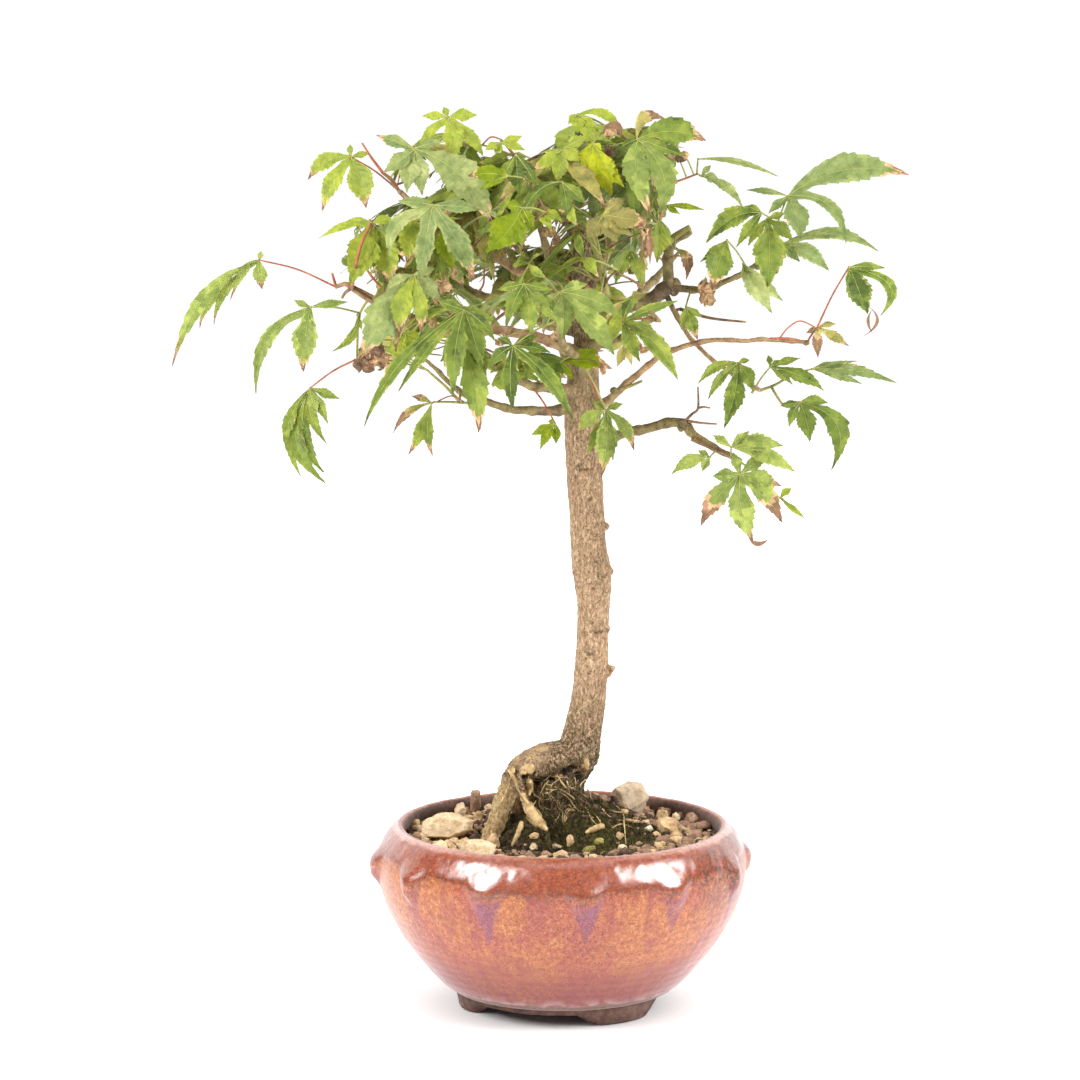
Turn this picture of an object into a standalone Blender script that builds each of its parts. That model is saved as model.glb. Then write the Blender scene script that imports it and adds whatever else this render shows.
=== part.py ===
"""Bonsai Japanese maple in a round glazed pot.

Every length below is in millimetres, measured from the pot's axis and from the
surface that the pot's feet stand on, with +Z up and -Y the front.  The model is
turned into metres when a mesh is made, and at the end everything is moved
together so that the origin is the middle of the underside of the whole box.
"""

import random
from math import cos, hypot, pi, radians, sin, sqrt

import bmesh
import bpy
import numpy as np
from mathutils import Matrix, Vector
from mathutils.bvhtree import BVHTree

MM = 0.001
GAP = 0.4  # clear space between neighbouring pieces
SEED = 11

# ---------------------------------------------------------------- pot sizes
POT_COLUMNS = 36
FOOT_HEIGHT = 5.3
BASE_RADIUS = 34.2
SHOULDER_RADIUS = 58.0
RIM_HEIGHT = 58.0
BOSS_COUNT = 12
BOSS_PROUD = 2.6
BOSS_FIRST = 6.0  # degrees from the front towards +X
BOSS_HEIGHT = 46.0
BOSS_HALF = 8.0
FEET = {"front": 35.0, "left": -85.0, "back": 155.0}  # degrees from the front
FOOT_RADIUS = 29.0
FOOT_TOP_WIDTH = 30.0
FOOT_SOLE_WIDTH = 18.0
FOOT_DEPTH = 8.0

# outer wall from the base up and over the lip, then the inner wall down
POT_WALL = [
    (31.0, 5.3),
    (34.2, 6.0),
    (36.6, 8.0),
    (41.2, 13.2),
    (47.5, 21.2),
    (52.5, 29.0),
    (56.2, 37.0),
    (58.0, 44.5),
    (56.6, 50.0),
    (53.4, 55.4),
    (50.9, 58.0),
    (49.3, 56.6),
    (50.3, 53.0),
    (52.3, 45.0),
    (50.6, 36.0),
    (44.6, 24.0),
    (37.0, 14.6),
    (30.0, 10.5),
]
POT_FLOOR = 10.5

# ---------------------------------------------------------------- soil sizes
SOIL_COLUMNS = 24
SOIL_EDGE = 53.2
MOUND_CENTRE = (1.0, 9.0)
MOUND_HEIGHT = 9.4
MOUND_FLAT = 9.6
MOUND_REACH = 30.0

# ---------------------------------------------------------------- limb sizes
# name: side count, pieces it is cut clear of, then (x, y, z, radius) stations
TRUNK = [
    (2.0, 12.0, 63.0, 7.0),
    (3.0, 12.0, 70.0, 6.6),
    (5.5, 12.0, 78.0, 6.7),
    (7.0, 12.0, 84.0, 6.1),
    (9.0, 11.5, 95.0, 5.5),
    (10.0, 11.0, 107.0, 5.2),
    (10.5, 10.5, 122.0, 5.0),
    (10.5, 10.5, 131.0, 5.6),
    (10.0, 10.0, 137.0, 6.1),
    (9.0, 10.0, 144.0, 5.6),
    (8.5, 9.5, 154.0, 5.5),
    (7.5, 9.0, 170.0, 5.6),
    (7.0, 8.0, 190.0, 5.8),
    (7.5, 8.0, 200.0, 4.8),
    (8.0, 7.5, 209.0, 3.8),
    (7.0, 7.0, 222.0, 3.3),
    (6.5, 6.0, 235.0, 3.0),
    (8.0, 6.0, 243.0, 2.7),
]

LIMBS = {
    "root_left": (8, ["trunk"], [(4, 12, 76, 6.0), (-5, 8, 76, 6.0), (-13, 3, 73, 5.0), (-18, -1, 66, 3.8), (-22, -5, 55, 3.2)]),
    "root_front": (6, ["trunk", "root_left"], [(-10, 2, 74, 1.6), (-12, -10, 67, 1.5), (-8, -16, 60, 2.2), (-4, -22, 54, 1.6)]),
    "root_back": (6, ["trunk", "root_left"], [(3, 14, 72, 4.0), (-2, 22, 68, 3.2), (-8, 30, 60, 2.6), (-12, 36, 54, 2.0)]),
    "bough_low_left": (6, ["trunk"], [(7, 8, 189, 1.9), (-4, 4, 188, 1.5), (-16, 0, 189, 1.2), (-24, -4, 192, 1.1), (-31, -8, 195, 0.9)]),
    "bough_front_left": (6, ["trunk"], [(6, 6, 194, 1.7), (-5, -4, 196, 1.5), (-12, -12, 199, 1.4), (-19, -20, 204, 1.2), (-26, -30, 212, 0.9)]),
    "bough_low_right": (6, ["trunk"], [(8, 8, 176, 1.9), (22, 2, 182, 1.5), (37, -2, 185, 1.5), (40, -4, 182, 1.3), (47, -8, 178, 1.1), (55, -12, 174, 0.9)]),
    "bough_mid_right": (6, ["trunk"], [(8, 7, 186, 1.6), (16, 0, 193, 1.3), (24, -4, 201, 1.1), (33, -8, 208, 1.0), (44, -10, 211, 0.9), (76, -10, 211, 0.7)]),
    "bough_right": (8, ["trunk"], [(7, 7, 215, 3.0), (20, 4, 221, 2.4), (28, 2, 223, 2.2), (33, 0, 227.5, 2.3)]),
    "stub_right": (6, ["bough_right"], [(33, 0, 227, 1.8), (32.7, 0, 236, 1.6), (34, 0, 241, 1.3), (39.5, -2, 244.5, 1.2)]),
    "bough_right_upper": (6, ["bough_right", "stub_right"], [(33, 0, 227, 1.3), (43, -3, 226.5, 1.0), (50, -5, 229, 0.9), (63, -6, 236, 0.7)]),
    "bough_right_lower": (6, ["bough_right"], [(32, 1, 225, 0.9), (35, -1, 219, 0.8), (40, -3, 211, 0.7), (49, -6, 203, 0.6), (61, -10, 196, 0.6)]),
    "leader_left": (6, ["trunk"], [(5, 10, 194, 1.8), (0, 12, 208, 1.5), (-2, 12, 221, 1.4), (-4, 9, 234, 1.2), (-7, 6, 246, 1.0)]),
    "leader_right": (6, ["trunk"], [(7, 7, 224, 1.7), (13, 3, 235, 1.3), (17, 2, 244, 1.1), (20, 0, 254, 1.0)]),
    "bough_upper_left": (6, ["trunk"], [(6, 6, 216, 2.0), (-5, -4, 227, 1.8), (-18, -11, 236, 1.5), (-32, -14, 243, 1.2), (-49, -12, 257, 0.8)]),
    "bough_mid_left": (6, ["trunk"], [(7, 7, 205, 1.9), (-8, -6, 212, 1.6), (-22, -13, 215, 1.4), (-37, -14, 215, 1.2), (-64, -6, 227, 0.9)]),
    "bough_back_left": (6, ["trunk"], [(7, 8, 212, 1.9), (-9, 28, 214, 1.5), (-25, 44, 220, 1.2)]),
    "bough_back_right": (6, ["trunk"], [(8, 8, 209, 1.9), (20, 30, 217, 1.5), (31, 50, 226, 1.2)]),
    "bough_back": (6, ["trunk"], [(7, 8, 196, 1.9), (3, 30, 198, 1.5), (0, 52, 203, 1.2)]),
    "bough_front": (6, ["trunk"], [(7, 7, 200, 1.7), (6, -20, 206, 1.3), (0, -42, 214, 1.1)]),
    "bough_front_right": (6, ["trunk"], [(8, 7, 208, 1.7), (18, -20, 213, 1.3), (26, -40, 221, 1.1)]),
    "bough_back_top": (6, ["trunk"], [(7, 7, 228, 1.6), (5, 24, 236, 1.3), (2, 38, 244, 1.0)]),
}
# share of each limb, from its foot, that the foliage is kept clear of
BARE_SHARE = 0.62
BARE_MARGIN = 1.6

# ---------------------------------------------------------------- foliage sizes
# name: centre, half sizes, slope in the plane of X and Z in degrees, edge cuts
FOLIAGE = {
    "foliage_far_left": ((-106, -4, 220), (25, 8, 8), -50, 2),
    "foliage_left": ((-81, -7, 210), (17, 11, 15), -32, 2),
    "foliage_low_left": ((-77, -11, 181), (9, 10, 19), 0, 2),
    "foliage_left_tip": ((-69, -8, 261), (11, 10, 11.5), 0, 1),
    "foliage_top_left": ((-41, -6, 266), (18, 19, 17), 0, 2),
    "foliage_upper_left": ((-60, 2, 237), (17, 18, 14), 20, 2),
    "foliage_centre_left": ((-37, -26, 236), (20, 22, 19), 0, 3),
    "foliage_lower_left": ((-44, -12, 203), (18, 17, 15), -30, 2),
    "foliage_drop_left": ((-45, -18, 182), (8, 9, 10), 0, 1),
    "foliage_top_centre": ((-12, -8, 262), (18, 23, 19), 0, 2),
    "foliage_top_right": ((26, -6, 265), (22, 23, 17), 0, 3),
    "foliage_front": ((0, -50, 234), (24, 25, 20), 0, 3),
    "foliage_front_low": ((-16, -38, 205), (20, 22, 14), 0, 2),
    "foliage_front_right": ((25, -46, 212), (21, 22, 18), 0, 2),
    "foliage_trunk_front": ((12, -13, 179), (10, 7, 11), 0, 1),
    "foliage_right_upper": ((59, -4, 249), (19, 20, 18), 0, 2),
    "foliage_right_far": ((88, -6, 256), (22, 16, 11), 12, 2),
    "foliage_right_tip": ((95, -7, 226), (8, 9, 10.5), 0, 1),
    "foliage_right_end": ((84, -10, 211), (8, 8, 6.5), 0, 1),
    "foliage_right_inner": ((57, -11, 194), (13, 12, 12), 0, 2),
    "foliage_right_outer": ((86, -11, 195), (20, 13, 13), 25, 2),
    "foliage_right_low": ((55, -14, 165), (22, 16, 18), 0, 2),
    "foliage_back_left": ((-46, 46, 228), (27, 24, 20), 0, 2),
    "foliage_back": ((-2, 64, 220), (24, 22, 18), 0, 3),
    "foliage_back_right": ((36, 50, 236), (22, 24, 18), 0, 2),
    "foliage_back_top": ((2, 34, 258), (25, 21, 19), 0, 3),
    "foliage_back_low": ((-32, 36, 200), (17, 17, 10), 0, 1),
}
TREE_TOP = 282.0
UNEVENNESS = 0.30

# ---------------------------------------------------------------- stone sizes
# name: centre x, y, half sizes, height of centre over the soil, turn, seed
STONES = {
    "stone_grey": (23.0, 28.0, 7.6, 6.0, 5.4, 3.4, 20.0, 3),
    "stone_pale": (-35.0, -3.0, 11.0, 7.6, 4.8, 1.6, 0.0, 5),
    "stone_front": (-25.0, -26.0, 8.0, 5.6, 4.2, 1.4, -25.0, 8),
    "stone_tan": (35.0, 7.0, 5.6, 5.0, 4.4, 1.8, 10.0, 13),
    "stone_brown": (-27.0, 36.0, 3.4, 3.4, 5.4, 2.8, 0.0, 21),
}

COLOURS = {
    "glaze": ((0.42, 0.10, 0.045, 1), 0.22, 0.0),
    "earth": ((0.06, 0.045, 0.035, 1), 0.95, 0.0),
    "stone": ((0.42, 0.36, 0.27, 1), 0.85, 0.0),
    "bark": ((0.42, 0.31, 0.19, 1), 0.85, 0.0),
    "root": ((0.46, 0.33, 0.17, 1), 0.85, 0.0),
    "bough": ((0.20, 0.20, 0.07, 1), 0.7, 0.0),
    "leaf": ((0.16, 0.34, 0.05, 1), 0.6, 0.0),
}


# ---------------------------------------------------------------- helpers
def clear_scene():
    for obj in list(bpy.data.objects):
        bpy.data.objects.remove(obj, do_unlink=True)


def make_materials():
    made = {}
    for name, (colour, rough, metal) in COLOURS.items():
        mat = bpy.data.materials.new(name)
        mat.use_nodes = True
        bsdf = mat.node_tree.nodes["Principled BSDF"]
        bsdf.inputs["Base Color"].default_value = colour
        bsdf.inputs["Roughness"].default_value = rough
        bsdf.inputs["Metallic"].default_value = metal
        made[name] = mat
    return made


def add_object(name, verts, faces, mat, smooth=True, guide=False):
    mesh = bpy.data.meshes.new(name)
    mesh.from_pydata([(x * MM, y * MM, z * MM) for x, y, z in verts], [], faces)
    mesh.update()
    bm = bmesh.new()
    bm.from_mesh(mesh)
    bmesh.ops.recalc_face_normals(bm, faces=bm.faces)
    bm.to_mesh(mesh)
    bm.free()
    if smooth:
        mesh.shade_smooth()
        mesh.set_sharp_from_angle(angle=radians(40))
    obj = bpy.data.objects.new(name, mesh)
    bpy.context.scene.collection.objects.link(obj)
    if mat:
        mesh.materials.append(mat)
    if guide:
        obj.hide_render = True
        obj.display_type = "WIRE"
    return obj


def boolean(obj, other, operation):
    mod = obj.modifiers.new(f"{operation.lower()}_{other.name}", "BOOLEAN")
    mod.operation = operation
    mod.solver = "EXACT"
    mod.object = other


def around(angle):
    """Unit vector at an angle in degrees from the front towards +X."""
    return sin(radians(angle)), -cos(radians(angle))


def smoothstep(t):
    t = min(1.0, max(0.0, t))
    return t * t * (3 - 2 * t)


# ---------------------------------------------------------------- pot
def boss_lift(angle, height):
    """How far a boss lifts the shoulder at one place."""
    off = (angle - BOSS_FIRST + 15) % (360 / BOSS_COUNT) - 15
    across = max(0.0, 1 - abs(off) / 8.0)
    along = max(0.0, 1 - abs(height - BOSS_HEIGHT) / BOSS_HALF)
    return BOSS_PROUD * across * sqrt(along)


def turned(wall, columns, first, top_centre, bottom_centre, lift=None):
    """Turn a wall profile about the axis and close both of its ends."""
    verts, faces = [], []
    for radius, height in wall:
        for c in range(columns):
            angle = first + 360 * c / columns
            r = radius + (lift(angle, height, radius) if lift else 0)
            ux, uy = around(angle)
            verts.append((r * ux, r * uy, height))
    rows = len(wall)
    for i in range(rows - 1):
        for c in range(columns):
            d = (c + 1) % columns
            a, b = i * columns + c, i * columns + d
            e, f = (i + 1) * columns + c, (i + 1) * columns + d
            faces += [(a, b, f), (a, f, e)]
    for row, centre in ((0, bottom_centre), (rows - 1, top_centre)):
        hub = len(verts)
        verts.append((0, 0, centre))
        for c in range(columns):
            faces.append((row * columns + c, row * columns + (c + 1) % columns, hub))
    return verts, faces


def pot_foot(name, angle):
    """A foot: wide where it joins the base, narrow at its flat sole."""
    ux, uy = around(angle)
    tx, ty = -uy, ux
    verts = []
    for height, width, depth in (
        (0.0, FOOT_SOLE_WIDTH, FOOT_DEPTH - 2.0),
        (FOOT_HEIGHT + 2.0, FOOT_TOP_WIDTH, FOOT_DEPTH),
    ):
        for side in (-1, 1):
            for out in (-1, 1):
                r = FOOT_RADIUS + out * depth / 2 - (1.5 if out > 0 and side else 0)
                s = side * width / 2
                verts.append((ux * r + tx * s, uy * r + ty * s, height))
    faces = [(0, 1, 3, 2), (4, 6, 7, 5), (0, 4, 5, 1), (2, 3, 7, 6), (1, 5, 7, 3), (0, 2, 6, 4)]
    return add_object(name, verts, faces, None, smooth=False, guide=True)


def make_pot(mats):
    def lift(angle, height, radius):
        outer = radius > 52.9 and height > 36 and height < 56
        return boss_lift(angle, height) if outer else 0.0

    verts, faces = turned(POT_WALL, POT_COLUMNS, BOSS_FIRST, POT_FLOOR, FOOT_HEIGHT, lift)
    pot = add_object("pot", verts, faces, mats["glaze"])
    for name, angle in FEET.items():
        boolean(pot, pot_foot(f"guide_foot_{name}", angle), "UNION")
    return pot


# ---------------------------------------------------------------- soil
def mound(x, y):
    away = hypot((x - MOUND_CENTRE[0]) / 1.15, y - MOUND_CENTRE[1])
    return MOUND_HEIGHT * smoothstep((MOUND_REACH - away) / (MOUND_REACH - MOUND_FLAT))


def make_soil(mats):
    inner = POT_WALL[-1:-6:-1]  # floor of the pot up to its shoulder
    wall = [(r - 0.55, z + 0.45) for r, z in inner]
    wall.append((49.7, SOIL_EDGE))
    rings = [43.0, 36.0, 30.0, 24.0, 18.0, 12.0, 6.0]
    wall += [(r, SOIL_EDGE) for r in rings]
    verts, faces = turned(wall, SOIL_COLUMNS, BOSS_FIRST, SOIL_EDGE, POT_FLOOR + 0.45)
    top_from = len(inner) * SOIL_COLUMNS + SOIL_COLUMNS
    hub_top = len(verts) - 1
    raised = []
    for i, (x, y, z) in enumerate(verts):
        if top_from <= i < len(wall) * SOIL_COLUMNS or i == hub_top:
            z = SOIL_EDGE + mound(x, y)
        raised.append((x, y, z))
    soil = add_object("soil", raised, faces, mats["earth"])
    tree = BVHTree.FromPolygons([Vector(v) for v in raised], faces)

    def ground(x, y):
        hit = tree.ray_cast(Vector((x, y, 200.0)), Vector((0, 0, -1)))[0]
        return hit.z if hit else SOIL_EDGE

    return soil, ground


def settle(verts, ground, clear):
    """Lift the points that would lie in the soil until they just clear it."""
    return [(x, y, max(z, ground(x, y) + clear)) for x, y, z in verts]


def make_stones(mats, ground):
    for name, (x, y, a, b, c, lift, turn, seed) in STONES.items():
        rng = random.Random(seed)
        bm = bmesh.new()
        bmesh.ops.create_icosphere(bm, subdivisions=2, radius=1.0)
        spin = Matrix.Rotation(radians(turn), 3, "Z")
        verts = []
        base = ground(x, y) + lift
        planes = [
            (Vector((rng.uniform(-1, 1), rng.uniform(-1, 1), rng.uniform(-0.3, 1))).normalized(), rng.uniform(0.72, 0.9))
            for _ in range(9)
        ]
        for v in bm.verts:
            p = v.co.copy()
            for normal, depth in planes:  # knock flat facets off the ball
                over = p.dot(normal) - depth
                if over > 0:
                    p -= normal * over
            p = spin @ Vector((p.x * a, p.y * b, p.z * c))
            verts.append((x + p.x, y + p.y, base + p.z))
        faces = [tuple(v.index for v in f.verts) for f in bm.faces]
        bm.free()
        add_object(name, settle(verts, ground, 0.6), faces, mats["stone"], smooth=False)


# ---------------------------------------------------------------- limbs
def flowing(stations, steps):
    """A smooth run through the stations (Catmull-Rom), with their radius."""
    pts = [np.array(s, float) for s in stations]
    ends = [2 * pts[0] - pts[1], *pts, 2 * pts[-1] - pts[-2]]
    out = []
    for i in range(1, len(ends) - 2):
        p0, p1, p2, p3 = ends[i - 1 : i + 3]
        for k in range(steps):
            t = k / steps
            out.append(
                0.5
                * (
                    2 * p1
                    + (p2 - p0) * t
                    + (2 * p0 - 5 * p1 + 4 * p2 - p3) * t * t
                    + (3 * p1 - p0 - 3 * p2 + p3) * t**3
                )
            )
    out.append(pts[-1])
    return out


def tube(run, sides, grow=0.0, flat_foot=False):
    """Rings square to the run, capped at both ends."""
    verts, faces = [], []
    side = Vector((0, 1, 0))
    for i, p in enumerate(run):
        a, b = run[max(0, i - 1)], run[min(len(run) - 1, i + 1)]
        along = Vector((b - a)[:3]).normalized()
        side = (side - along * side.dot(along)).normalized()
        other = along.cross(side)
        for k in range(sides):
            turn = 2 * pi * k / sides
            q = Vector(p[:3]) + (side * cos(turn) + other * sin(turn)) * (p[3] + grow)
            if flat_foot and i == 0:
                q.z = p[2]
            verts.append(tuple(q))
    for i in range(len(run) - 1):
        for k in range(sides):
            m = (k + 1) % sides
            faces.append((i * sides + k, i * sides + m, (i + 1) * sides + m, (i + 1) * sides + k))
    faces.append(tuple(reversed(range(sides))))
    last = (len(run) - 1) * sides
    faces.append(tuple(last + k for k in range(sides)))
    return verts, faces


def triangulated(verts, faces):
    """Split every face into triangles so that its surface is settled here."""
    out = []
    for f in faces:
        for i in range(1, len(f) - 1):
            out.append((f[0], f[i], f[i + 1]))
    return verts, out


def clear_guide(name, run, sides):
    """The limb grown by the gap and run past its ends, to cut others with."""
    first = run[0] + (run[0] - run[1]) * 0.2
    last = run[-1] + (run[-1] - run[-2]) * 0.2
    verts, faces = tube([first, *run[1:-1], last], sides, grow=GAP)
    return add_object(f"guide_clear_{name}", verts, faces, None, guide=True)


def stop_at_foliage(run, trees):
    """Shorten a limb so that it ends just before the first mass it enters."""
    kept = [run[0]]
    for a, b in zip(run, run[1:]):
        pieces = max(1, int(np.linalg.norm((b - a)[:3]) / 0.4))
        for k in range(1, pieces + 1):
            p = a + (b - a) * k / pieces
            for tree in trees:
                near, normal, _, dist = tree.find_nearest(Vector(p[:3]))
                inside = (Vector(p[:3]) - near).dot(normal) < 0
                if inside or dist < p[3] + 0.7:
                    if np.linalg.norm((p - kept[-1])[:3]) > 1.2:
                        kept.append(a + (b - a) * (k - 1) / pieces)
                    return kept
        kept.append(b)
    return kept


# ---------------------------------------------------------------- foliage
def ellipsoid_radius(d, half, frame):
    local = frame.T @ d
    return 1.0 / sqrt(sum((local[i] / half[i]) ** 2 for i in range(3)))


def make_foliage(mats, capsules):
    """Uneven masses, cut back from each other and from the bare limbs."""
    info = {}
    for n, (name, (centre, half, slope, detail)) in enumerate(FOLIAGE.items()):
        a = radians(-slope)
        frame = np.array([[cos(a), 0, sin(a)], [0, 1, 0], [-sin(a), 0, cos(a)]])
        rng = random.Random(SEED + 7 * n)
        bumps = []
        for _ in range(16):
            u = np.array([rng.gauss(0, 1) for _ in range(3)])
            bumps.append((u / np.linalg.norm(u), rng.choice((-1, 1)) * rng.uniform(0.4, 1.0)))
        info[name] = (np.array(centre, float), half, frame, bumps, detail)

    def reach(name, d):
        _, half, frame, bumps, _ = info[name]
        uneven = sum(w * max(0.0, float(d @ u)) ** 9 for u, w in bumps)
        uneven = max(-1.0, min(0.5, uneven))
        return ellipsoid_radius(d, half, frame) * (1 + UNEVENNESS * uneven)

    trees = {}
    names = list(info)
    for name in names:
        centre, half, frame, bumps, detail = info[name]
        bm = bmesh.new()
        bmesh.ops.create_icosphere(bm, subdivisions=1, radius=1.0)
        bmesh.ops.subdivide_edges(bm, edges=bm.edges[:], cuts=detail, use_grid_fill=True)
        bmesh.ops.triangulate(bm, faces=bm.faces[:])
        dirs = np.array([tuple(v.co.normalized()) for v in bm.verts])
        faces = [tuple(v.index for v in f.verts) for f in bm.faces]
        bm.free()
        radius = np.array([reach(name, d) for d in dirs])
        for other in names:
            if other == name:
                continue
            to = info[other][0] - centre
            dist = float(np.linalg.norm(to))
            n = to / dist
            mine, theirs = reach(name, n), reach(other, -n)
            if dist > max(half) + max(info[other][1]) + 3:
                continue
            wall = dist * mine / (mine + theirs) - 0.8
            if mine + theirs < dist - 1.6:
                wall = (dist + mine - theirs) / 2 - 0.8
            facing = dirs @ n
            limit = np.where(facing > 0.02, wall / np.maximum(facing, 0.02), 1e9)
            radius = np.minimum(radius, limit)
        step = 0.5
        marks = np.arange(1.0, max(half) * 1.5, step)
        pts = centre + dirs[:, None, :] * marks[None, :, None]
        hit = np.zeros(pts.shape[:2], bool)
        for a, b, r in capsules:
            ab = b - a
            t = np.clip(((pts - a) @ ab) / (ab @ ab), 0, 1)
            gap = np.linalg.norm(pts - (a + t[..., None] * ab), axis=-1)
            hit |= gap < r + BARE_MARGIN
        first = np.where(hit.any(1), marks[hit.argmax(1)] - step, 1e9)
        radius = np.maximum(np.minimum(radius, first), 0.8)
        verts = centre + dirs * radius[:, None]
        verts[:, 2] = np.minimum(verts[:, 2], TREE_TOP)
        verts = [tuple(float(c) for c in v) for v in verts]
        add_object(name, verts, faces, mats["leaf"], smooth=False)
        trees[name] = BVHTree.FromPolygons([Vector(v) for v in verts], faces)
    return trees


# ---------------------------------------------------------------- assembly
def main():
    clear_scene()
    mats = make_materials()
    make_pot(mats)
    _, ground = make_soil(mats)
    make_stones(mats, ground)

    runs = {name: flowing(stations, 2) for name, (_, _, stations) in LIMBS.items()}
    trunk_run = flowing(TRUNK, 1)
    capsules = [(a[:3], b[:3], max(a[3], b[3])) for a, b in zip(trunk_run, trunk_run[1:])]
    for name, run in runs.items():
        bare = run[: max(2, int(round(len(run) * BARE_SHARE)) + 1)]
        capsules += [(a[:3], b[:3], max(a[3], b[3])) for a, b in zip(bare, bare[1:])]
    trees = make_foliage(mats, capsules)

    verts, faces = tube(trunk_run, 12, flat_foot=True)
    add_object("trunk", verts, faces, mats["bark"])
    guides = {"trunk": clear_guide("trunk", trunk_run, 12)}
    for name in ("root_left", "bough_right", "leader_left", "stub_right"):
        guides[name] = clear_guide(name, runs[name], LIMBS[name][0])
    for name, (sides, cut_clear_of, _) in LIMBS.items():
        run = runs[name]
        is_root = name.startswith("root")
        if not is_root:
            run = stop_at_foliage(run, trees.values())
        verts, faces = tube(run, sides)
        if is_root:
            verts, faces = triangulated(settle(verts, ground, 0.5), faces)
        obj = add_object(name, verts, faces, mats["root" if is_root else "bough"])
        for other in cut_clear_of:
            boolean(obj, guides[other], "DIFFERENCE")

    # the origin is the middle of the underside of the whole box
    solids = [o for o in bpy.data.objects if not o.hide_render]
    corners = [v.co for o in solids for v in o.data.vertices]
    middle_x = (min(c.x for c in corners) + max(c.x for c in corners)) / 2
    middle_y = (min(c.y for c in corners) + max(c.y for c in corners)) / 2
    shift = Matrix.Translation((-middle_x, -middle_y, 0))
    for obj in bpy.data.objects:
        obj.data.transform(shift)
        obj.data.update()


main()
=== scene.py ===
"""Looks of the bonsai Japanese maple in its round glazed pot.

Lengths in the tables are millimetres in the pot's own frame: its axis is X = Y = 0,
its feet stand at Z = 0, +X is right and -Y is the front.  Leaves that show in the
picture are placed by where they fall in its 1080 x 1080 frame, with a depth of their
own, and hang on twigs that start from the limbs.
"""

import random
from math import atan2, cos, degrees, hypot, pi, radians, sin, sqrt

import bpy
import numpy as np
from mathutils import Matrix, Vector


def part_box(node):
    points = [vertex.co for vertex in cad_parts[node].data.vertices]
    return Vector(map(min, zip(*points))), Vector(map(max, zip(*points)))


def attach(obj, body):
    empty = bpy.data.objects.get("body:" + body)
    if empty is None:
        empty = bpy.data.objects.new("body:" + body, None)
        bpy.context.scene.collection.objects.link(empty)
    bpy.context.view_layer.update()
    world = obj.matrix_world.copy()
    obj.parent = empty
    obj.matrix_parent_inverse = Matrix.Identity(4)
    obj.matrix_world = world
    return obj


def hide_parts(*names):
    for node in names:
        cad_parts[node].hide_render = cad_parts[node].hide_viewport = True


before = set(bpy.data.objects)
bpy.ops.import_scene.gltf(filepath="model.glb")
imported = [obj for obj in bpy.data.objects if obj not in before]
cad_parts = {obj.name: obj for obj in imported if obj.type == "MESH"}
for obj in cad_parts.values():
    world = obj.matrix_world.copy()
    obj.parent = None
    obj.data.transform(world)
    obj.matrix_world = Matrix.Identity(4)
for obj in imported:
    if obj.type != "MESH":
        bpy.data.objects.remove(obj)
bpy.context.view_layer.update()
scene = bpy.context.scene
BODY = "root"

lo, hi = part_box("pot")
CX, CY = (lo.x + hi.x) / 2, (lo.y + hi.y) / 2
ORIGIN = np.array([CX, CY, 0.0])

# ================================================================ camera
FOCAL_PX = 4813.4
DISTANCE = 1500.0
LOOK_DOWN = radians(8.61)
AIM_X, AIM_Z = -6.85, 147.9
EYE = np.array([AIM_X, -DISTANCE * cos(LOOK_DOWN), AIM_Z + DISTANCE * sin(LOOK_DOWN)])
FORWARD = np.array([0.0, cos(LOOK_DOWN), -sin(LOOK_DOWN)])
UP = np.array([0.0, sin(LOOK_DOWN), cos(LOOK_DOWN)])
RIGHT = np.array([1.0, 0.0, 0.0])


def ray(px, py):
    v = FORWARD + RIGHT * (px - 540) / FOCAL_PX + UP * (540 - py) / FOCAL_PX
    return v / np.linalg.norm(v)


def at(px, py, y):
    """The point at depth y that falls on a place in the picture."""
    v = ray(px, py)
    return EYE + v * (y - EYE[1]) / v[1]


def on_plane(px, py, hub, normal):
    v = ray(px, py)
    return EYE + v * (np.dot(hub - EYE, normal) / np.dot(v, normal))


def seen_at(p):
    d = np.asarray(p) - EYE
    z = d @ FORWARD
    return 540 + FOCAL_PX * (d @ RIGHT) / z, 540 - FOCAL_PX * (d @ UP) / z


def make_camera():
    data = bpy.data.cameras.new("camera")
    data.sensor_width = 36.0
    data.lens = FOCAL_PX * 36.0 / 1080.0
    data.clip_start, data.clip_end = 0.05, 60.0
    cam = bpy.data.objects.new("camera", data)
    scene.collection.objects.link(cam)
    cam.location = EYE * 0.001 + ORIGIN
    cam.rotation_euler = (pi / 2 - LOOK_DOWN, 0, 0)
    scene.camera = cam


# ================================================================ small tools
def unit(v):
    return v / max(1e-9, np.linalg.norm(v))


def smooth(t):
    t = np.clip(t, 0.0, 1.0)
    return t * t * (3 - 2 * t)


_perm = np.random.RandomState(7).permutation(256)
_perm = np.concatenate([_perm, _perm, _perm])
_grad = np.random.RandomState(9).normal(size=(256, 3))
_grad /= np.linalg.norm(_grad, axis=1)[:, None]


def noise(p):
    """Gradient noise of many points at once, about -1 to 1."""
    p = np.asarray(p, float)
    base = np.floor(p).astype(int)
    f = p - base
    w = f * f * f * (f * (f * 6 - 15) + 10)
    total = np.zeros(len(p))
    for dx in (0, 1):
        for dy in (0, 1):
            for dz in (0, 1):
                h = _perm[(base[:, 0] + dx) & 255]
                h = _perm[h + ((base[:, 1] + dy) & 255)]
                h = _perm[h + ((base[:, 2] + dz) & 255)] & 255
                d = f - np.array([dx, dy, dz])
                g = (d * _grad[h]).sum(1)
                wx = w[:, 0] if dx else 1 - w[:, 0]
                wy = w[:, 1] if dy else 1 - w[:, 1]
                wz = w[:, 2] if dz else 1 - w[:, 2]
                total += g * wx * wy * wz
    return total * 1.6


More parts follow.
